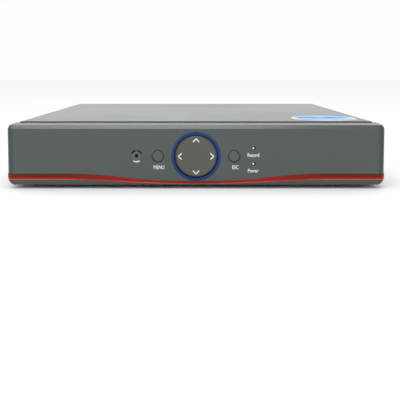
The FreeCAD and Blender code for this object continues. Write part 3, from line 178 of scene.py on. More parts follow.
class Paint:
    """A material with its main shader, and one method for every other node."""

    def __init__(self, name, **sockets):
        self.material = bpy.data.materials.new(name)
        self.material.use_nodes = True
        self.tree = self.material.node_tree
        self.shader = self.tree.nodes["Principled BSDF"]
        for socket, value in sockets.items():
            self.put(self.shader, socket.replace("_", " ").title().replace("Ior", "IOR"), value)

    def put(self, node, socket, value):
        if isinstance(value, Wire):
            self.tree.links.new(value.socket, node.inputs[socket])
        elif isinstance(value, tuple) and len(value) == 3 and node.inputs[socket].type == "RGBA":
            node.inputs[socket].default_value = (*value, 1)
        else:
            node.inputs[socket].default_value = value

    def node(self, kind, settings=None, inputs=None, output=0):
        made = self.tree.nodes.new(kind)
        for name, value in (settings or {}).items():
            setattr(made, name, value)
        for socket, value in (inputs or {}).items():
            self.put(made, socket, value)
        return Wire(self, made.outputs[output])

    def place(self):
        """Object coordinates, in metres."""
        return self.node("ShaderNodeTexCoord", output="Object")

    def axis(self, letter):
        return self.node("ShaderNodeSeparateXYZ", inputs={0: self.place()}, output=letter)

    def noise(self, scale, detail=2.0, stretch=(1, 1, 1)):
        """Cloudy values round a half; the scale is in lumps to the metre."""
        where = self.node("ShaderNodeMapping", inputs={"Vector": self.place(), "Scale": stretch})
        return self.node("ShaderNodeTexNoise", inputs={"Vector": where, "Scale": scale, "Detail": detail})

    def blend(self, mask, first, second):
        """Two colours mixed by a mask."""
        return self.node("ShaderNodeMix", {"data_type": "RGBA"}, {0: mask, 6: first, 7: second}, output=2)

    def tint(self, colour):
        self.put(self.shader, "Base Color", colour)

    def bump(self, height, strength, distance):
        sizes = {"Height": height, "Strength": strength, "Distance": distance}
        self.put(self.shader, "Normal", self.node("ShaderNodeBump", inputs=sizes))


def darker(colour, share):
    """A colour at a share of its strength."""
    return tuple(value * share for value in colour)


# %% [markdown]
# ## Families of finishes
# Most pieces are one of four things: moulded plastic with the fine grain of an eroded mould, sheet metal
# with a powder coat, plated metal with a faint turning or rolling direction, or rubber. Each family is one
# function, and what differs from piece to piece is its colour, gloss and grain.

# %% Moulded plastic
def moulded(name, colour, roughness, grain=2600, depth=0.02, cloud=0.08, **sockets):
    """Plastic from a mould: slow colour drift, fine grain, and roughness that follows the grain a little."""
    paint = Paint(name, **sockets)
    drift = paint.noise(45, 3)
    paint.tint(paint.blend(drift, darker(colour, 1 - cloud), darker(colour, 1 + cloud)))
    fine = paint.noise(grain, 4)
    paint.put(paint.shader, "Roughness", fine * 0.12 + (roughness - 0.06))
    paint.bump(fine, 0.35, depth * MM)
    return paint


# %% Powder coat
def powder_coat(name, colour, roughness, peel=900):
    """Baked powder: a fine orange peel, and a gloss that drifts over the sheet."""
    paint = Paint(name)
    drift = paint.noise(12, 4)
    paint.tint(paint.blend(drift, darker(colour, 0.9), darker(colour, 1.12)))
    peel_lumps = paint.noise(peel, 3)
    paint.put(paint.shader, "Roughness", drift * 0.1 + (roughness - 0.05))
    paint.bump(peel_lumps, 0.25, 0.03 * MM)
    return paint


# %% Plated and bare metal
def plated(name, colour, roughness, stretch=(1, 1, 1), scale=900, cloud=0.1):
    """Metal: tone and gloss drift along the direction in which the piece was turned, rolled or brushed."""
    paint = Paint(name, metallic=1.0)
    lines = paint.noise(scale, 3, stretch)
    drift = paint.noise(160, 3)
    paint.tint(paint.blend(drift, darker(colour, 1 - cloud), darker(colour, 1 + cloud)))
    paint.put(paint.shader, "Roughness", lines * 0.2 + drift * 0.08 + (roughness - 0.14))
    paint.bump(lines, 0.2, 0.02 * MM)
    return paint


# %% Rubber
def rubber(name, colour):
    """Soft and matt, with dust in its pores."""
    paint = Paint(name, ior=1.45)
    pores = paint.noise(1800, 5)
    paint.tint(paint.blend(pores, darker(colour, 0.7), darker(colour, 1.5)))
    paint.put(paint.shader, "Roughness", pores * 0.2 + 0.7)
    paint.bump(pores, 0.5, 0.04 * MM)
    return paint


# %% [markdown]
# ## Finishing the nodes of the working model
# A table says which finish each node wears. A node whose shape is right keeps its own mesh, and only its
# material slot is filled.

# %% Finishes of the case and the panel
floor_paint = Paint("pale floor", base_color=(0.93, 0.94, 0.95), roughness=0.9)
floor_data.materials.append(floor_paint.material)

COVER_BLACK = (0.042, 0.041, 0.039)
PANEL_GREY = (0.058, 0.068, 0.063)
END_SHADE, END_FADE = 5.5 * MM, 3.5 * MM

cover_coat = powder_coat("black powder coat", COVER_BLACK, 0.225)
# Painted light: the rear face of the cover's lip, the same black coat, is tinted a cloudy lit brown-grey.
lip = cover_coat.axis("Y") > cover_high.y - 0.02 * MM
painted_lip_light_cloud = cover_coat.noise(60, 3) * 0.5 + 0.25
painted_lit_lip_brown = cover_coat.blend(painted_lip_light_cloud, (0.15, 0.125, 0.11), (0.2, 0.175, 0.155))
cover_coat.tint(cover_coat.blend(lip, COVER_BLACK, painted_lit_lip_brown))
tray_coat = powder_coat("black powder coat, tray", (0.055, 0.055, 0.057), 0.5)
panel_plastic = moulded("grey-green panel plastic", PANEL_GREY, 0.24)
# Painted shade: the face darkens over the last few millimetres towards both rounded ends.
from_end = panel_high.x - abs(panel_plastic.axis("X"))
painted_end_shade = ((END_SHADE - from_end) / END_FADE).clamped()
panel_plastic.tint(panel_plastic.blend(painted_end_shade, PANEL_GREY, (0.02, 0.026, 0.023)))
cap_plastic = moulded("warm grey key plastic", (0.075, 0.073, 0.06), 0.4)
inner_plastic = moulded("black inner plastic", (0.02, 0.02, 0.02), 0.5)
blue_clear = moulded("clear blue plastic", (0.003, 0.033, 0.15), 0.25, specular_ior_level=0.25)
smoked = moulded("smoked window", (0.003, 0.003, 0.003), 0.2, specular_ior_level=0.1)
seal_red = moulded("red sealing lacquer", (0.5, 0.02, 0.015), 0.25, coat_weight=0.8, cloud=0.2)
foot_rubber = rubber("foot rubber", (0.02, 0.02, 0.02))
mat_rubber = rubber("grey dome rubber", (0.3, 0.3, 0.29))
zinc = plated("zinc-plated steel", (0.55, 0.56, 0.57), 0.36)
black_oxide = plated("black screw", (0.035, 0.033, 0.032), 0.35)

# %% Finishes of the jacks and of what is inside
brass_champagne = plated("nickelled brass", (0.66, 0.52, 0.33), 0.34, scale=1400)
gold_flash = plated("gold flash", (0.75, 0.5, 0.2), 0.25)
# Painted shade: the jacks' gold contacts sit deep in their tubes and are given a dark bronze colour for the
# shade there.
contacts_in_painted_shade = plated("gold contacts darkened as painted shade", (0.2, 0.07, 0.04), 0.3)
gold_plate = plated("gold plate", (0.78, 0.55, 0.26), 0.28, scale=1400)
nickel = plated("bright nickel", (0.74, 0.71, 0.66), 0.25)
# Painted reflection: the nickel shell of the network and USB sockets gets a warm tan colour for the warm
# light it reflects.
nickel_with_painted_warm_reflection = plated("nickel can tinted as painted reflection", (0.8, 0.66, 0.46), 0.4, stretch=(1, 1, 8), scale=500)
hex_brass = plated("plated brass posts", (0.76, 0.64, 0.42), 0.3)
white_plastic = moulded("white insulator", (0.8, 0.79, 0.74), 0.4)
block_black = moulded("black connector plastic", (0.018, 0.018, 0.018), 0.45)
vga_blue = moulded("blue connector plastic", (0.05, 0.18, 0.66), 0.4)
terminal_green = moulded("green terminal plastic", (0.06, 0.42, 0.05), 0.35)
inlet_grey = moulded("inlet plastic", (0.13, 0.115, 0.09), 0.5)
solder_mask = moulded("green solder mask", (0.01, 0.12, 0.045), 0.3, grain=700, depth=0.05)
chip_plastic = moulded("chip plastic", (0.015, 0.015, 0.016), 0.55)
sink_metal = plated("anodised fins", (0.62, 0.63, 0.65), 0.4, stretch=(1, 8, 1))
can_metal = plated("capacitor cans", (0.7, 0.7, 0.72), 0.28)
drive_metal = plated("cast aluminium", (0.42, 0.43, 0.44), 0.5, scale=400)
lid_metal = plated("brushed lid", (0.68, 0.69, 0.7), 0.3, stretch=(1, 20, 20), scale=120)
fan_plastic = moulded("black fan plastic", (0.02, 0.02, 0.02), 0.45)
lead_sleeve = moulded("red lead sleeve", (0.35, 0.03, 0.025), 0.45)

# %% [markdown]
# Some finishes carry a pattern of their own, and some carry painted light and shade. The sound insulators
# are white, but the lower input's is red. The lamps of the network socket are yellow on one side and green
# on the other. The red strip carries painted shade: brown high in each end, where the face above would shade
# it, bright red below, and a thin painted orange highlight along its foot. A light pipe is a dark bore with
# a painted white highlight. Each is a mask on the place of the point, measured from the nodes.

# %% Finishes with a mask
in_low, in_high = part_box("audio_in_shells")
INSULATOR_WHITE = (0.8, 0.79, 0.75)
sound_core = moulded("sound insulators", INSULATOR_WHITE, 0.35)
under = sound_core.axis("Z") < (in_low.z + in_high.z) / 2
aside = sound_core.axis("X") < in_high.x
sound_core.tint(sound_core.blend(under * aside, INSULATOR_WHITE, (0.7, 0.03, 0.015)))
lamps = moulded("network lamps", (0.5, 0.5, 0.05), 0.3)
yellow_side = lamps.axis("X") > middle("network_leds").x
lamps.tint(lamps.blend(yellow_side, (0.2, 0.42, 0.05), (0.6, 0.5, 0.03)))
lamp_clear = moulded("clear lamp", (0.6, 0.62, 0.6), 0.2, coat_weight=1.0)
sheet_white = moulded("printed sheet", (0.76, 0.81, 0.88), 0.38, grain=1500, cloud=0.03)

# %% Red strip and light pipes
STRIP_FLAT, STRIP_MIDDLE = 87 * MM, 9 * MM
MIDDLE_FOOT, MIDDLE_TALL = 1.5 * MM, 1.6 * MM
END_FOOT, END_TALL = 4.4 * MM, 3.9 * MM


def strip_red():
    """Bright red low in each end and painted shade brown above it, with a thin painted orange highlight at
    the foot; plain red in the middle.
    """
    paint = moulded("clear red plastic with painted shade", (0.3, 0.01, 0.005), 0.25, specular_ior_level=0.15)
    share = ((abs(paint.axis("X")) - STRIP_MIDDLE) / (STRIP_FLAT - STRIP_MIDDLE)).clamped()
    foot = share * (END_FOOT - MIDDLE_FOOT) + (panel_low.z + MIDDLE_FOOT)
    deep = (paint.axis("Z") - foot) / (share * (END_TALL - MIDDLE_TALL) + MIDDLE_TALL)
    end = (share * 2.0 - 1.0).clamped()
    lower = paint.blend(end, (0.42, 0.012, 0.008), (0.4, 0.006, 0.003))
    painted_shade_upper = paint.blend(end, (0.3, 0.008, 0.004), (0.105, 0.016, 0.002))
    # deep is the share of the strip's height above its foot; above a little over a third it takes the
    # painted shade.
    colour = paint.blend(deep > 0.36 + paint.noise(300) * 0.04, lower, painted_shade_upper)
    # Painted highlight: a thin orange line along the strip's foot.
    colour = paint.blend(deep < 0.13, colour, (0.55, 0.09, 0.05))
    paint.tint(colour)
    return paint


HIGHLIGHT_ASIDE, HIGHLIGHT_REACH = 0.5 * MM, 0.7 * MM


def pipe_with_painted_highlight(name, node):
    """A clear pipe seen end on: dark, with a painted white highlight left of its middle."""
    paint = Paint(name, roughness=0.2, specular_ior_level=0.15)
    centre = middle(node) - Vector((HIGHLIGHT_ASIDE, 0, 0))
    away = ((paint.axis("X") - centre.x) ** 2 + (paint.axis("Z") - centre.z) ** 2) ** 0.5
    cloud = paint.noise(900) * (0.3 * MM)
    # Painted highlight: a white spot within a small reach of a point left of the pipe's middle.
    paint.tint(paint.blend(away + cloud < HIGHLIGHT_REACH, (0.02, 0.018, 0.016), (0.8, 0.82, 0.84)))
    return paint


# %% Sticker paper
SQUARENESS = 3.2


def sticker():
    """A round label: yellow rim, white band, pale field with two soft blue patches and a white sweep."""
    paint = Paint("printed sticker", roughness=0.6, specular_ior_level=0.15)
    low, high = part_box("top_sticker")
    half, centre = (high.x - low.x) / 2, (low + high) / 2
    across = (paint.axis("X") - centre.x) / half
    along = (paint.axis("Y") - centre.y) / half
    edge = (abs(across) ** SQUARENESS + abs(along) ** SQUARENESS) ** (1 / SQUARENESS)
    cloud = paint.noise(70, 2)
    left = ((across + 0.45) ** 2 + (along * 0.8) ** 2) ** 0.5
    right = ((across - 0.3) ** 2 + (along * 0.8) ** 2) ** 0.5
    patches = (left < 0.32 + cloud * 0.1) + (right < 0.3 + cloud * 0.12)
    sweep = abs(along - across * across * 0.5 + 0.35) < 0.09
    colour = paint.blend(patches, (0.33, 0.5, 0.76), (0.1, 0.33, 0.78))
    colour = paint.blend(sweep, colour, (0.6, 0.72, 0.85))
    colour = paint.blend(edge > 0.84, colour, (0.62, 0.72, 0.72))
    colour = paint.blend(edge > 0.91, colour, (0.72, 0.66, 0.14))
    paint.tint(colour)
    return paint


# %% Fill the slots
FINISHES = {
    "top_cover": cover_coat, "chassis_tray": tray_coat, "rear_label": sheet_white,
    "top_sticker": sticker(), "front_panel": panel_plastic, "blue_ring": blue_clear,
    "dpad_cap": cap_plastic, "menu_button": cap_plastic, "esc_button": cap_plastic,
    "dpad_pivot": inner_plastic, "dpad_cradle": inner_plastic, "ir_window": smoked,
    "record_light_pipe": pipe_with_painted_highlight("record pipe", "record_light_pipe"), "key_mat": mat_rubber,
    "power_light_pipe": pipe_with_painted_highlight("power pipe", "power_light_pipe"), "status_leds": lamp_clear,
    "rubber_feet": foot_rubber, "cover_screws": zinc, "front_panel_screws": zinc, "board_screws": zinc,
    "drive_screws": zinc, "earth_screw": black_oxide, "sealed_screw": seal_red, "key_board": solder_mask,
    "main_board": solder_mask, "hard_drive_board": solder_mask, "ir_receiver": chip_plastic,
    "video_chips": chip_plastic, "buzzer_and_holder": chip_plastic, "heat_sink": sink_metal,
    "capacitors": can_metal, "coin_cell": zinc, "video_jack_shells": brass_champagne,
    "video_out_shell": brass_champagne, "jack_insulators": white_plastic, "jack_contacts": contacts_in_painted_shade,
    "video_jack_blocks": block_black, "output_block": block_black, "audio_out_shell": gold_plate,
    "audio_in_shells": nickel, "audio_insulators": sound_core, "audio_in_block": block_black,
    "vga_shell": nickel, "vga_insulator": vga_blue, "vga_jackscrews": hex_brass,
    "hd_socket_shell": nickel, "hd_socket_tongue": block_black, "network_usb_shell": nickel_with_painted_warm_reflection,
    "network_usb_insert": block_black, "network_leds": lamps, "terminal_block": terminal_green,
    "dc_jack_body": inlet_grey, "dc_jack_pin": nickel, "hard_drive_casting": drive_metal,
    "hard_drive_lid": lid_metal, "fan_frame": fan_plastic, "fan_rotor": fan_plastic,
    "drive_leads": lead_sleeve, "signal_leads": lead_sleeve, "red_accent_strip": strip_red(),
}
for name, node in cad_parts.items():
    node.data.materials.clear()
    node.data.materials.append(FINISHES[name].material)
print(len(FINISHES), "nodes finished")

# %% [markdown]
# ## Tools for new pieces
# A new piece starts as a bmesh shape, gets its body and its material, and is smoothed with its real edges
# kept sharp.

# %% Make a piece from a mesh
SHARP_FROM = math.radians(32)


def finish_piece(name, mesh, paint, body="recorder", smooth=True):
    """Give a finished mesh its object, body, slot and material."""
    mesh.materials.append(paint.material)
    if smooth:
        mesh.shade_smooth()
        mesh.set_sharp_from_angle(angle=SHARP_FROM)
    made = bpy.data.objects.new(name, mesh)
    scene.collection.objects.link(made)
    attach(made, body)


def piece(name, work, paint, body="recorder"):
    """Close a bmesh into a finished piece."""
    bmesh.ops.recalc_face_normals(work, faces=work.faces)
    mesh = bpy.data.meshes.new(name)
    work.to_mesh(mesh)
    work.free()
    finish_piece(name, mesh, paint, body)


# %% Shapes that come back again and again
def bar(work, low, high, round_off=0.0):
    """A block between two corners, with its edges rounded off a little."""
    low, high = Vector(low), Vector(high)
    made = bmesh.ops.create_cube(work, size=1.0)["verts"]
    bmesh.ops.scale(work, vec=high - low, verts=made)
    bmesh.ops.translate(work, vec=(low + high) / 2, verts=made)
    if round_off:
        edges = list({edge for vert in made for edge in vert.link_edges})
        bmesh.ops.bevel(work, geom=edges, offset=round_off, affect="EDGES", segments=2, profile=0.5,
                        material=-1)


def turned(work, profile, centre, toward, steps=48):
    """A full spin of a half outline (radius, distance along the axis)."""
    toward = Vector(toward)
    side = toward.orthogonal().normalized()
    verts = [work.verts.new(Vector(centre) + side * r + toward * along) for r, along in profile]
    edges = [work.edges.new(pair) for pair in zip(verts, verts[1:])]
    bmesh.ops.spin(work, geom=verts + edges, cent=centre, axis=toward, angle=math.tau, steps=steps,
                   use_merge=True)
    bmesh.ops.remove_doubles(work, verts=work.verts, dist=0.002 * MM)


# %% Lettering
FRONTWARD = Matrix.Rotation(math.radians(90), 4, "X")
REARWARD = Matrix.Rotation(math.radians(180), 4, "Z") @ FRONTWARD
INK_THICK = 0.015 * MM
CAPITAL_SHARE = 0.7


def lettering(name, words, high, at, turn, paint, weight=0.0, wide=1.0):
    """Printed words, centred on a place: a font outline given the thickness of ink."""
    curve = bpy.data.curves.new(name, "FONT")
    curve.body = words
    curve.size = high / CAPITAL_SHARE
    curve.align_x, curve.align_y = "CENTER", "CENTER"
    curve.extrude = INK_THICK
    curve.offset = weight * high
    curve.resolution_u = 3
    lines = bpy.data.objects.new(name, curve)
    mesh = bpy.data.meshes.new_from_object(lines)
    bpy.data.objects.remove(lines)
    mesh.transform(Matrix.Translation(at) @ turn @ Matrix.Diagonal((wide, 1, 1, 1)))
    mesh.name = name
    finish_piece(name, mesh, paint, smooth=False)


# %% [markdown]
# ## Printing on the front
# The legends are pale bluish ink. The words are drawn with the built-in font, and the arrows of the four-way
# key are short bars meeting at a point, moulded in white and flush with the dish.

# %% Front legends
# Pale and black ink print the legends and tags; the same two paint the light and the shadow round the
# infrared eye.
pale_ink_and_painted_light = moulded("pale ink and painted light", (0.62, 0.66, 0.7), 0.5, cloud=0.03)
black_ink_and_painted_shadow = moulded("black ink and painted shadow", (0.005, 0.005, 0.006), 0.5, cloud=0.03, specular_ior_level=0.1)
grey_ink = moulded("grey ink", (0.3, 0.33, 0.37), 0.5, cloud=0.03)
ON_FACE = FACE - 0.005 * MM


def front_words(words, node, aside, below):
    """A narrow, bold legend under a key or a light; the distances are in millimetres."""
    spot = middle(node) + Vector((aside, 0, -below)) * MM
    lettering("legend_" + words.lower(), words, WORD_HIGH, (spot.x, ON_FACE, spot.z), FRONTWARD, pale_ink_and_painted_light,
              0.03, wide=0.76)


WORD_HIGH = 2.5 * MM
front_words("MENU", "menu_button", 0.7, 7.5)
front_words("ESC", "esc_button", 0.7, 7.5)
front_words("Record", "record_light_pipe", -0.5, 4.8)
front_words("Power", "power_light_pipe", -0.6, 4.8)

# %% Arrows of the four-way key
ARM_THICK, ARM_DEEP, ARM_LONG = 0.62 * MM, 0.3 * MM, 3.1 * MM
ARM_SPLAY = 41
ARM_SUNK = 0.22 * MM
APEX_OUT = 12.0 * MM


def chevron(turn_degrees):
    """Two thin bars that meet at a point, turned about the key's centre."""
    work = bmesh.new()
    for side in (-1, 1):
        made = bmesh.ops.create_cube(work, size=1.0)["verts"]
        bmesh.ops.scale(work, vec=(ARM_THICK, ARM_DEEP, ARM_LONG), verts=made)
        bmesh.ops.translate(work, vec=(0, 0, -ARM_LONG / 2), verts=made)
        splay = Matrix.Rotation(math.radians(ARM_SPLAY * side), 3, "Y")
        bmesh.ops.rotate(work, cent=(0, 0, 0), matrix=splay, verts=made)
    bmesh.ops.translate(work, vec=(0, 0, APEX_OUT), verts=work.verts)
    turn = Matrix.Rotation(math.radians(turn_degrees), 3, "Y")
    bmesh.ops.rotate(work, cent=(0, 0, 0), matrix=turn, verts=work.verts)
    spot = (pad_centre.x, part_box("dpad_cap")[0].y + ARM_SUNK, pad_centre.z)
    bmesh.ops.translate(work, vec=spot, verts=work.verts)
    return work


arrow_white = moulded("white arrow plastic", (0.85, 0.86, 0.84), 0.4, cloud=0.02)
for number, way in enumerate(("up", "right", "down", "left")):
    piece(f"arrow_{way}", chevron(90 * number), arrow_white, "dpad")

# %% The infrared eye
def flat_ring(work, centre, inner, outer, low_y, high_y, start=0.0, turn=math.tau, steps=36):
    """A flat ring, or part of one, round an axis that runs front to rear."""
    corners = ((inner, low_y), (outer, low_y), (outer, high_y), (inner, high_y))
    verts = []
    for r, y in corners:
        verts.append(work.verts.new((centre.x + r * math.cos(start), y, centre.z + r * math.sin(start))))
    edges = [work.edges.new((verts[index], verts[(index + 1) % 4])) for index in range(4)]
    whole = turn >= math.tau
    bmesh.ops.spin(work, geom=verts + edges, cent=(centre.x, 0, centre.z), axis=(0, -1, 0), angle=turn,
                   steps=steps, use_merge=whole)
    if not whole:
        bmesh.ops.holes_fill(work, edges=[edge for edge in work.edges if edge.is_boundary], sides=4)


def eye_band(work, inner, outer, start=0, turn=360, steps=36):
    """A thin band round the eye; the radii are in millimetres, the angles in degrees."""
    flat_ring(work, middle("ir_window"), inner * MM, outer * MM, ON_FACE - INK_THICK, ON_FACE + INK_THICK,
              math.radians(start), math.radians(turn), steps)


# The eye's dished recess is drawn flat: a slightly lighter disc, painted shadow arcs along its top where the
# dish is shaded, and a painted lit crescent below it.
eye_disc = moulded("eye surround", (0.085, 0.093, 0.09), 0.4, cloud=0.03)
disc, painted_shadow_arcs, painted_lit_crescent = bmesh.new(), bmesh.new(), bmesh.new()
eye_band(disc, 1.25, 3.0)
for start in (22, 98):
    eye_band(painted_shadow_arcs, 3.0, 4.0, start, 60, 12)
eye_band(painted_lit_crescent, 3.6, 4.4, 238, 64, 12)
piece("eye_surround", disc, eye_disc)
piece("eye_painted_shadow_arcs", painted_shadow_arcs, black_ink_and_painted_shadow)
piece("eye_painted_lit_crescent", painted_lit_crescent, pale_ink_and_painted_light)

# %% [markdown]
# ## Printing at the rear
# The rear sheet tells one socket from the next: a thin outline round each group, a dark tag under it, and a
# number beside every jack. Outlines and tags are rounded shapes with the thickness of ink, laid on the
# sheet.

# %% Rounded shapes in ink
PRINT_LOW, PRINT_HIGH = REAR - 0.005 * MM, REAR + 0.02 * MM
INK_RISE = 0.02 * MM
CORNER_STEPS = 6


def rounded_loop(work, low_x, high_x, low_z, high_z, corner, level):
    """The points of a rounded rectangle that faces the rear: sizes in millimetres, level in metres."""
    centres = ((high_x - corner, high_z - corner), (low_x + corner, high_z - corner),
               (low_x + corner, low_z + corner), (high_x - corner, low_z + corner))
    loop = []
    for quarter, (x, z) in enumerate(centres):
        for step in range(CORNER_STEPS + 1):
            angle = math.radians(quarter * 90 + step * 90 / CORNER_STEPS)
            at_x, at_z = x + corner * math.cos(angle), z + corner * math.sin(angle)
            loop.append(work.verts.new((at_x * MM, level, at_z * MM)))
    return loop


def ink_box(name, low_x, high_x, low_z, high_z, corner, paint, level=0.0, line=0.0):
    """A filled rounded box, or only its outline when a line width is given; all sizes in millimetres."""
    work = bmesh.new()
    base = PRINT_LOW + level * MM
    outer = rounded_loop(work, low_x, high_x, low_z, high_z, corner, base)
    if line:
        inner = rounded_loop(work, low_x + line, high_x - line, low_z + line, high_z - line,
                             corner - line, base)
        edges = []
        for loop in (outer, inner):
            edges += [work.edges.new(pair) for pair in zip(loop, loop[1:] + loop[:1])]
        bmesh.ops.bridge_loops(work, edges=edges)
    else:
        work.faces.new(outer)
    top = bmesh.ops.extrude_face_region(work, geom=work.faces[:])["geom"]
    raised = [item for item in top if isinstance(item, bmesh.types.BMVert)]
    bmesh.ops.translate(work, vec=(0, INK_RISE, 0), verts=raised)
    piece(name, work, paint)


def rear_words(name, words, high, x, z, paint, level=0.0, weight=0.01, wide=1.0):
    """Words on the rear sheet, read from behind; all sizes in millimetres."""
    at = (x * MM, PRINT_HIGH + level * MM, z * MM)
    lettering(name, words, high * MM, at, REARWARD, paint, weight, wide=wide)


white_ink = moulded("white ink", (0.85, 0.87, 0.88), 0.45, cloud=0.02)
brown_ink = moulded("dark brown ink", (0.07, 0.052, 0.04), 0.5, cloud=0.05, specular_ior_level=0.25)
band_ink = moulded("band ink", (0.02, 0.02, 0.03), 0.5, cloud=0.03, specular_ior_level=0.1)
along = (band_ink.axis("X") - 50 * MM) / (72 * MM)
band_ink.tint(band_ink.blend(along * along, (0.013, 0.013, 0.025), (0.12, 0.12, 0.19)))

# %% [markdown]
# The places of the jacks are read from the working model: a node with many equal parts is split into its
# loose parts, once the points that its faces share are joined, and each part's box is measured.

# %% Find the loose parts of a node
def parts_of(name):
    """The boxes of a node's separate parts, each as its lowest and highest corner."""
    work = bmesh.new()
    work.from_mesh(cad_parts[name].data)
    bmesh.ops.remove_doubles(work, verts=work.verts, dist=0.001 * MM)
    left, boxes = set(work.verts), []
    while left:
        stack, group = [left.pop()], []
        while stack:
            vert = stack.pop()
            group.append(vert.co.copy())
            for edge in vert.link_edges:
                other = edge.other_vert(vert)
                if other in left:
                    left.remove(other)
                    stack.append(other)
        low = Vector(min(spot[axis] for spot in group) for axis in range(3))
        high = Vector(max(spot[axis] for spot in group) for axis in range(3))
        boxes.append((low, high))
    work.free()
    return boxes


def part_middles(name):
    """The middles of a node's parts, in millimetres: the upper row first, from the left seen from behind."""
    middles = [(low + high) / 2 / MM for low, high in parts_of(name)]
    return sorted(middles, key=lambda spot: (-round(spot.z), -spot.x))


jacks = part_middles("video_jack_shells")
print(len(jacks), "video jacks from", [round(value, 1) for value in jacks[0]])

# %% Video inputs
ink_box("video_outline", -20.8, 119.5, 5.0, 39.5, 2.0, grey_ink, line=0.3)
ink_box("video_band", -20.8, 119.2, 3.9, 7.1, 0.5, band_ink, level=0.012)
rear_words("word_video_in", "VIDEO IN", 2.2, 49.4, 5.5, white_ink, level=0.02, weight=0.02)
for order, jack in enumerate(jacks):
    row, place = divmod(order, 8)
    number = 15 + row - 2 * place
    rear_words(f"number_{number}", f"V{number}", 1.4, jack.x - 7.6, jack.z - 7.0, grey_ink)

# %% Outputs and the other groups
RIM = 0.5


def tag(name, words, low_x, high_x, low_z, high_z, high, wide=1.0):
    """A dark tag with a white rim and white words; all sizes in millimetres."""
    ink_box(name + "_rim", low_x - RIM, high_x + RIM, low_z - RIM, high_z + RIM, 1.0, white_ink)
    ink_box(name, low_x, high_x, low_z, high_z, 0.7, black_ink_and_painted_shadow, level=0.012)
    mid_x, mid_z = (low_x + high_x) / 2, (low_z + high_z) / 2
    rear_words(name + "_words", words, high, mid_x, mid_z, white_ink, 0.02, 0.03, wide)


ink_box("output_field", -38.3, -22.0, 4.4, 40.4, 1.5, brown_ink)
rear_words("word_v_out", "V-OUT", 2.0, -29.8, 39.0, white_ink, 0.01, 0.02)
rear_words("word_a_out", "A-OUT", 2.0, -30.0, 5.7, white_ink, 0.01, 0.02)
ink_box("sound_outline", -89.7, -76.7, 5.6, 39.2, 1.5, grey_ink, line=0.3)
rear_words("word_a1", "A1", 1.7, -83.2, 37.0, grey_ink)
rear_words("word_a2", "A2", 1.7, -82.9, 22.8, grey_ink)
tag("tag_hd", "HD-OUT", -53.1, -40.6, 3.9, 7.65, 2.1)
tag("tag_audio", "AUDIO IN", -88.6, -76.3, 3.9, 7.7, 2.0, 0.78)
tag("tag_rs485", "RS485", -99.4, -91.1, 3.7, 7.4, 2.0, 0.78)
tag("tag_dc", "DC12V", -109.1, -100.4, 3.5, 7.2, 2.0, 0.78)
tag("tag_vga", "VGA", -111.0, -101.7, 23.9, 27.6, 2.3, 1.1)
rear_words("word_a", "A", 1.3, -93.7, 19.3, grey_ink)
rear_words("word_b", "B", 1.3, -97.7, 19.3, grey_ink)

# %% Network and earth signs
def sign_bar(low_x, high_x, low_z, high_z):
    """A straight stroke of a sign; all sizes in millimetres."""
    bar(signs, (low_x * MM, PRINT_LOW, low_z * MM), (high_x * MM, PRINT_HIGH, high_z * MM))


def sign_ring(x, z, inner, outer):
    """A ring of a sign; all sizes in millimetres."""
    flat_ring(signs, Vector((x, 0, z)) * MM, inner * MM, outer * MM, PRINT_LOW, PRINT_HIGH)


signs = bmesh.new()
for x, z in ((-51.8, 37.5), (-49.8, 33.55), (-53.6, 33.55)):
    sign_ring(x, z, 0.45, 0.8)
sign_bar(-51.9, -51.7, 35.5, 36.7)
sign_bar(-53.7, -49.7, 35.4, 35.6)
for x in (-53.6, -49.8):
    sign_bar(x - 0.1, x + 0.1, 34.35, 35.5)
EARTH_X, EARTH_Z = -117.0, 16.2
sign_ring(EARTH_X, EARTH_Z, 1.85, 2.05)
sign_bar(EARTH_X - 0.1, EARTH_X + 0.1, EARTH_Z, EARTH_Z + 1.3)
for half, drop in ((0.95, 0.0), (0.6, 0.5), (0.25, 1.0)):
    sign_bar(EARTH_X - half, EARTH_X + half, EARTH_Z - drop - 0.1, EARTH_Z - drop + 0.1)
piece("rear_signs", signs, grey_ink)

# %% [markdown]
# ## Small contacts inside the sockets
# A socket is told by what can be seen in its mouth: eight sprung wires in the network socket, four flat
# strips in each USB socket, a comb in the flat display socket, clamps in the terminal and a spring in the
# power inlet.

# %% Contacts of the network, USB and flat display sockets
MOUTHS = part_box("network_usb_shell")[1].y
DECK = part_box("main_board")[1].z


def contact(work, x, half, deep, shallow, low, high, round_off=0.0):
    """A bar round a place x: depths behind the mouths and heights above the board, in millimetres."""
    bar(work, (x - half * MM, MOUTHS - deep * MM, DECK + low * MM),
        (x + half * MM, MOUTHS - shallow * MM, DECK + high * MM), round_off * MM)


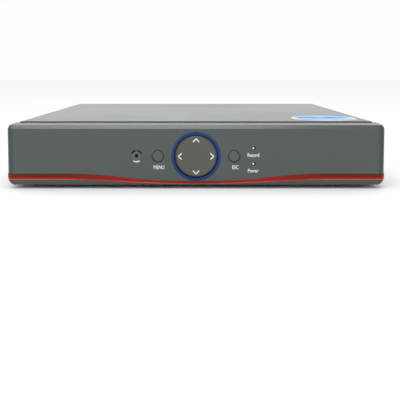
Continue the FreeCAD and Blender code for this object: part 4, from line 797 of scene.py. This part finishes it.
def row_of(count, pitch, centre):
    """The places across of a row of contacts; the pitch is in millimetres."""
    return [centre.x + (number - (count - 1) / 2) * pitch * MM for number in range(count)]


network = middle("network_usb_shell")
wires = bmesh.new()
for x in row_of(8, 1.02, network):
    contact(wires, x, 0.25, 9.0, 2.5, 20.6, 21.0, 0.1)
    contact(wires, x, 0.25, 13.9, 8.6, 20.6, 24.6, 0.1)
piece("network_wires", wires, gold_flash)
strips = bmesh.new()
for tongue_top in (4.25, 12.95):
    for x in row_of(4, 2.3, network):
        contact(strips, x, 0.5, 10.0, 1.6, tongue_top, tongue_top + 0.15, 0.05)
piece("usb_contacts", strips, gold_flash)
comb = bmesh.new()
for x in row_of(10, 1.0, middle("hd_socket_tongue")):
    contact(comb, x, 0.22, 7.5, 1.6, 4.15, 4.3)
piece("flat_display_contacts", comb, gold_flash)

# %% Washers in the mouths of the bayonet jacks
washers = bmesh.new()
SEAT = REAR + 7.0 * MM
for spot in jacks + part_middles("video_out_shell"):
    flat_ring(washers, spot * MM, 2.42 * MM, 4.03 * MM, SEAT, SEAT + 0.4 * MM, steps=24)
piece("jack_washers", washers, brass_champagne)

# %% Terminal clamps and power spring
clamps = bmesh.new()
term_low, term_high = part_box("terminal_block")
SCREW_RADIUS, SCREW_LOW, SCREW_HIGH = 1.2 * MM, -1.6 * MM, -0.5 * MM
screw_outline = ((0, SCREW_LOW), (SCREW_RADIUS, SCREW_LOW), (SCREW_RADIUS, SCREW_HIGH), (0, SCREW_HIGH))
for side in (-1, 1):
    x = (term_low.x + term_high.x) / 2 + side * (term_high.x - term_low.x) / 4
    contact(clamps, x, 1.2, 5.8, 3.2, 1.3, 2.3, 0.15)
    turned(clamps, screw_outline, (x, MOUTHS - 3.5 * MM, term_high.z), (0, 0, 1), 24)
piece("terminal_clamps", clamps, zinc)
spring = bmesh.new()
contact(spring, middle("dc_jack_pin").x, 1.0, 9.0, 2.0, 3.8, 4.3, 0.1)
piece("inlet_spring", spring, nickel)
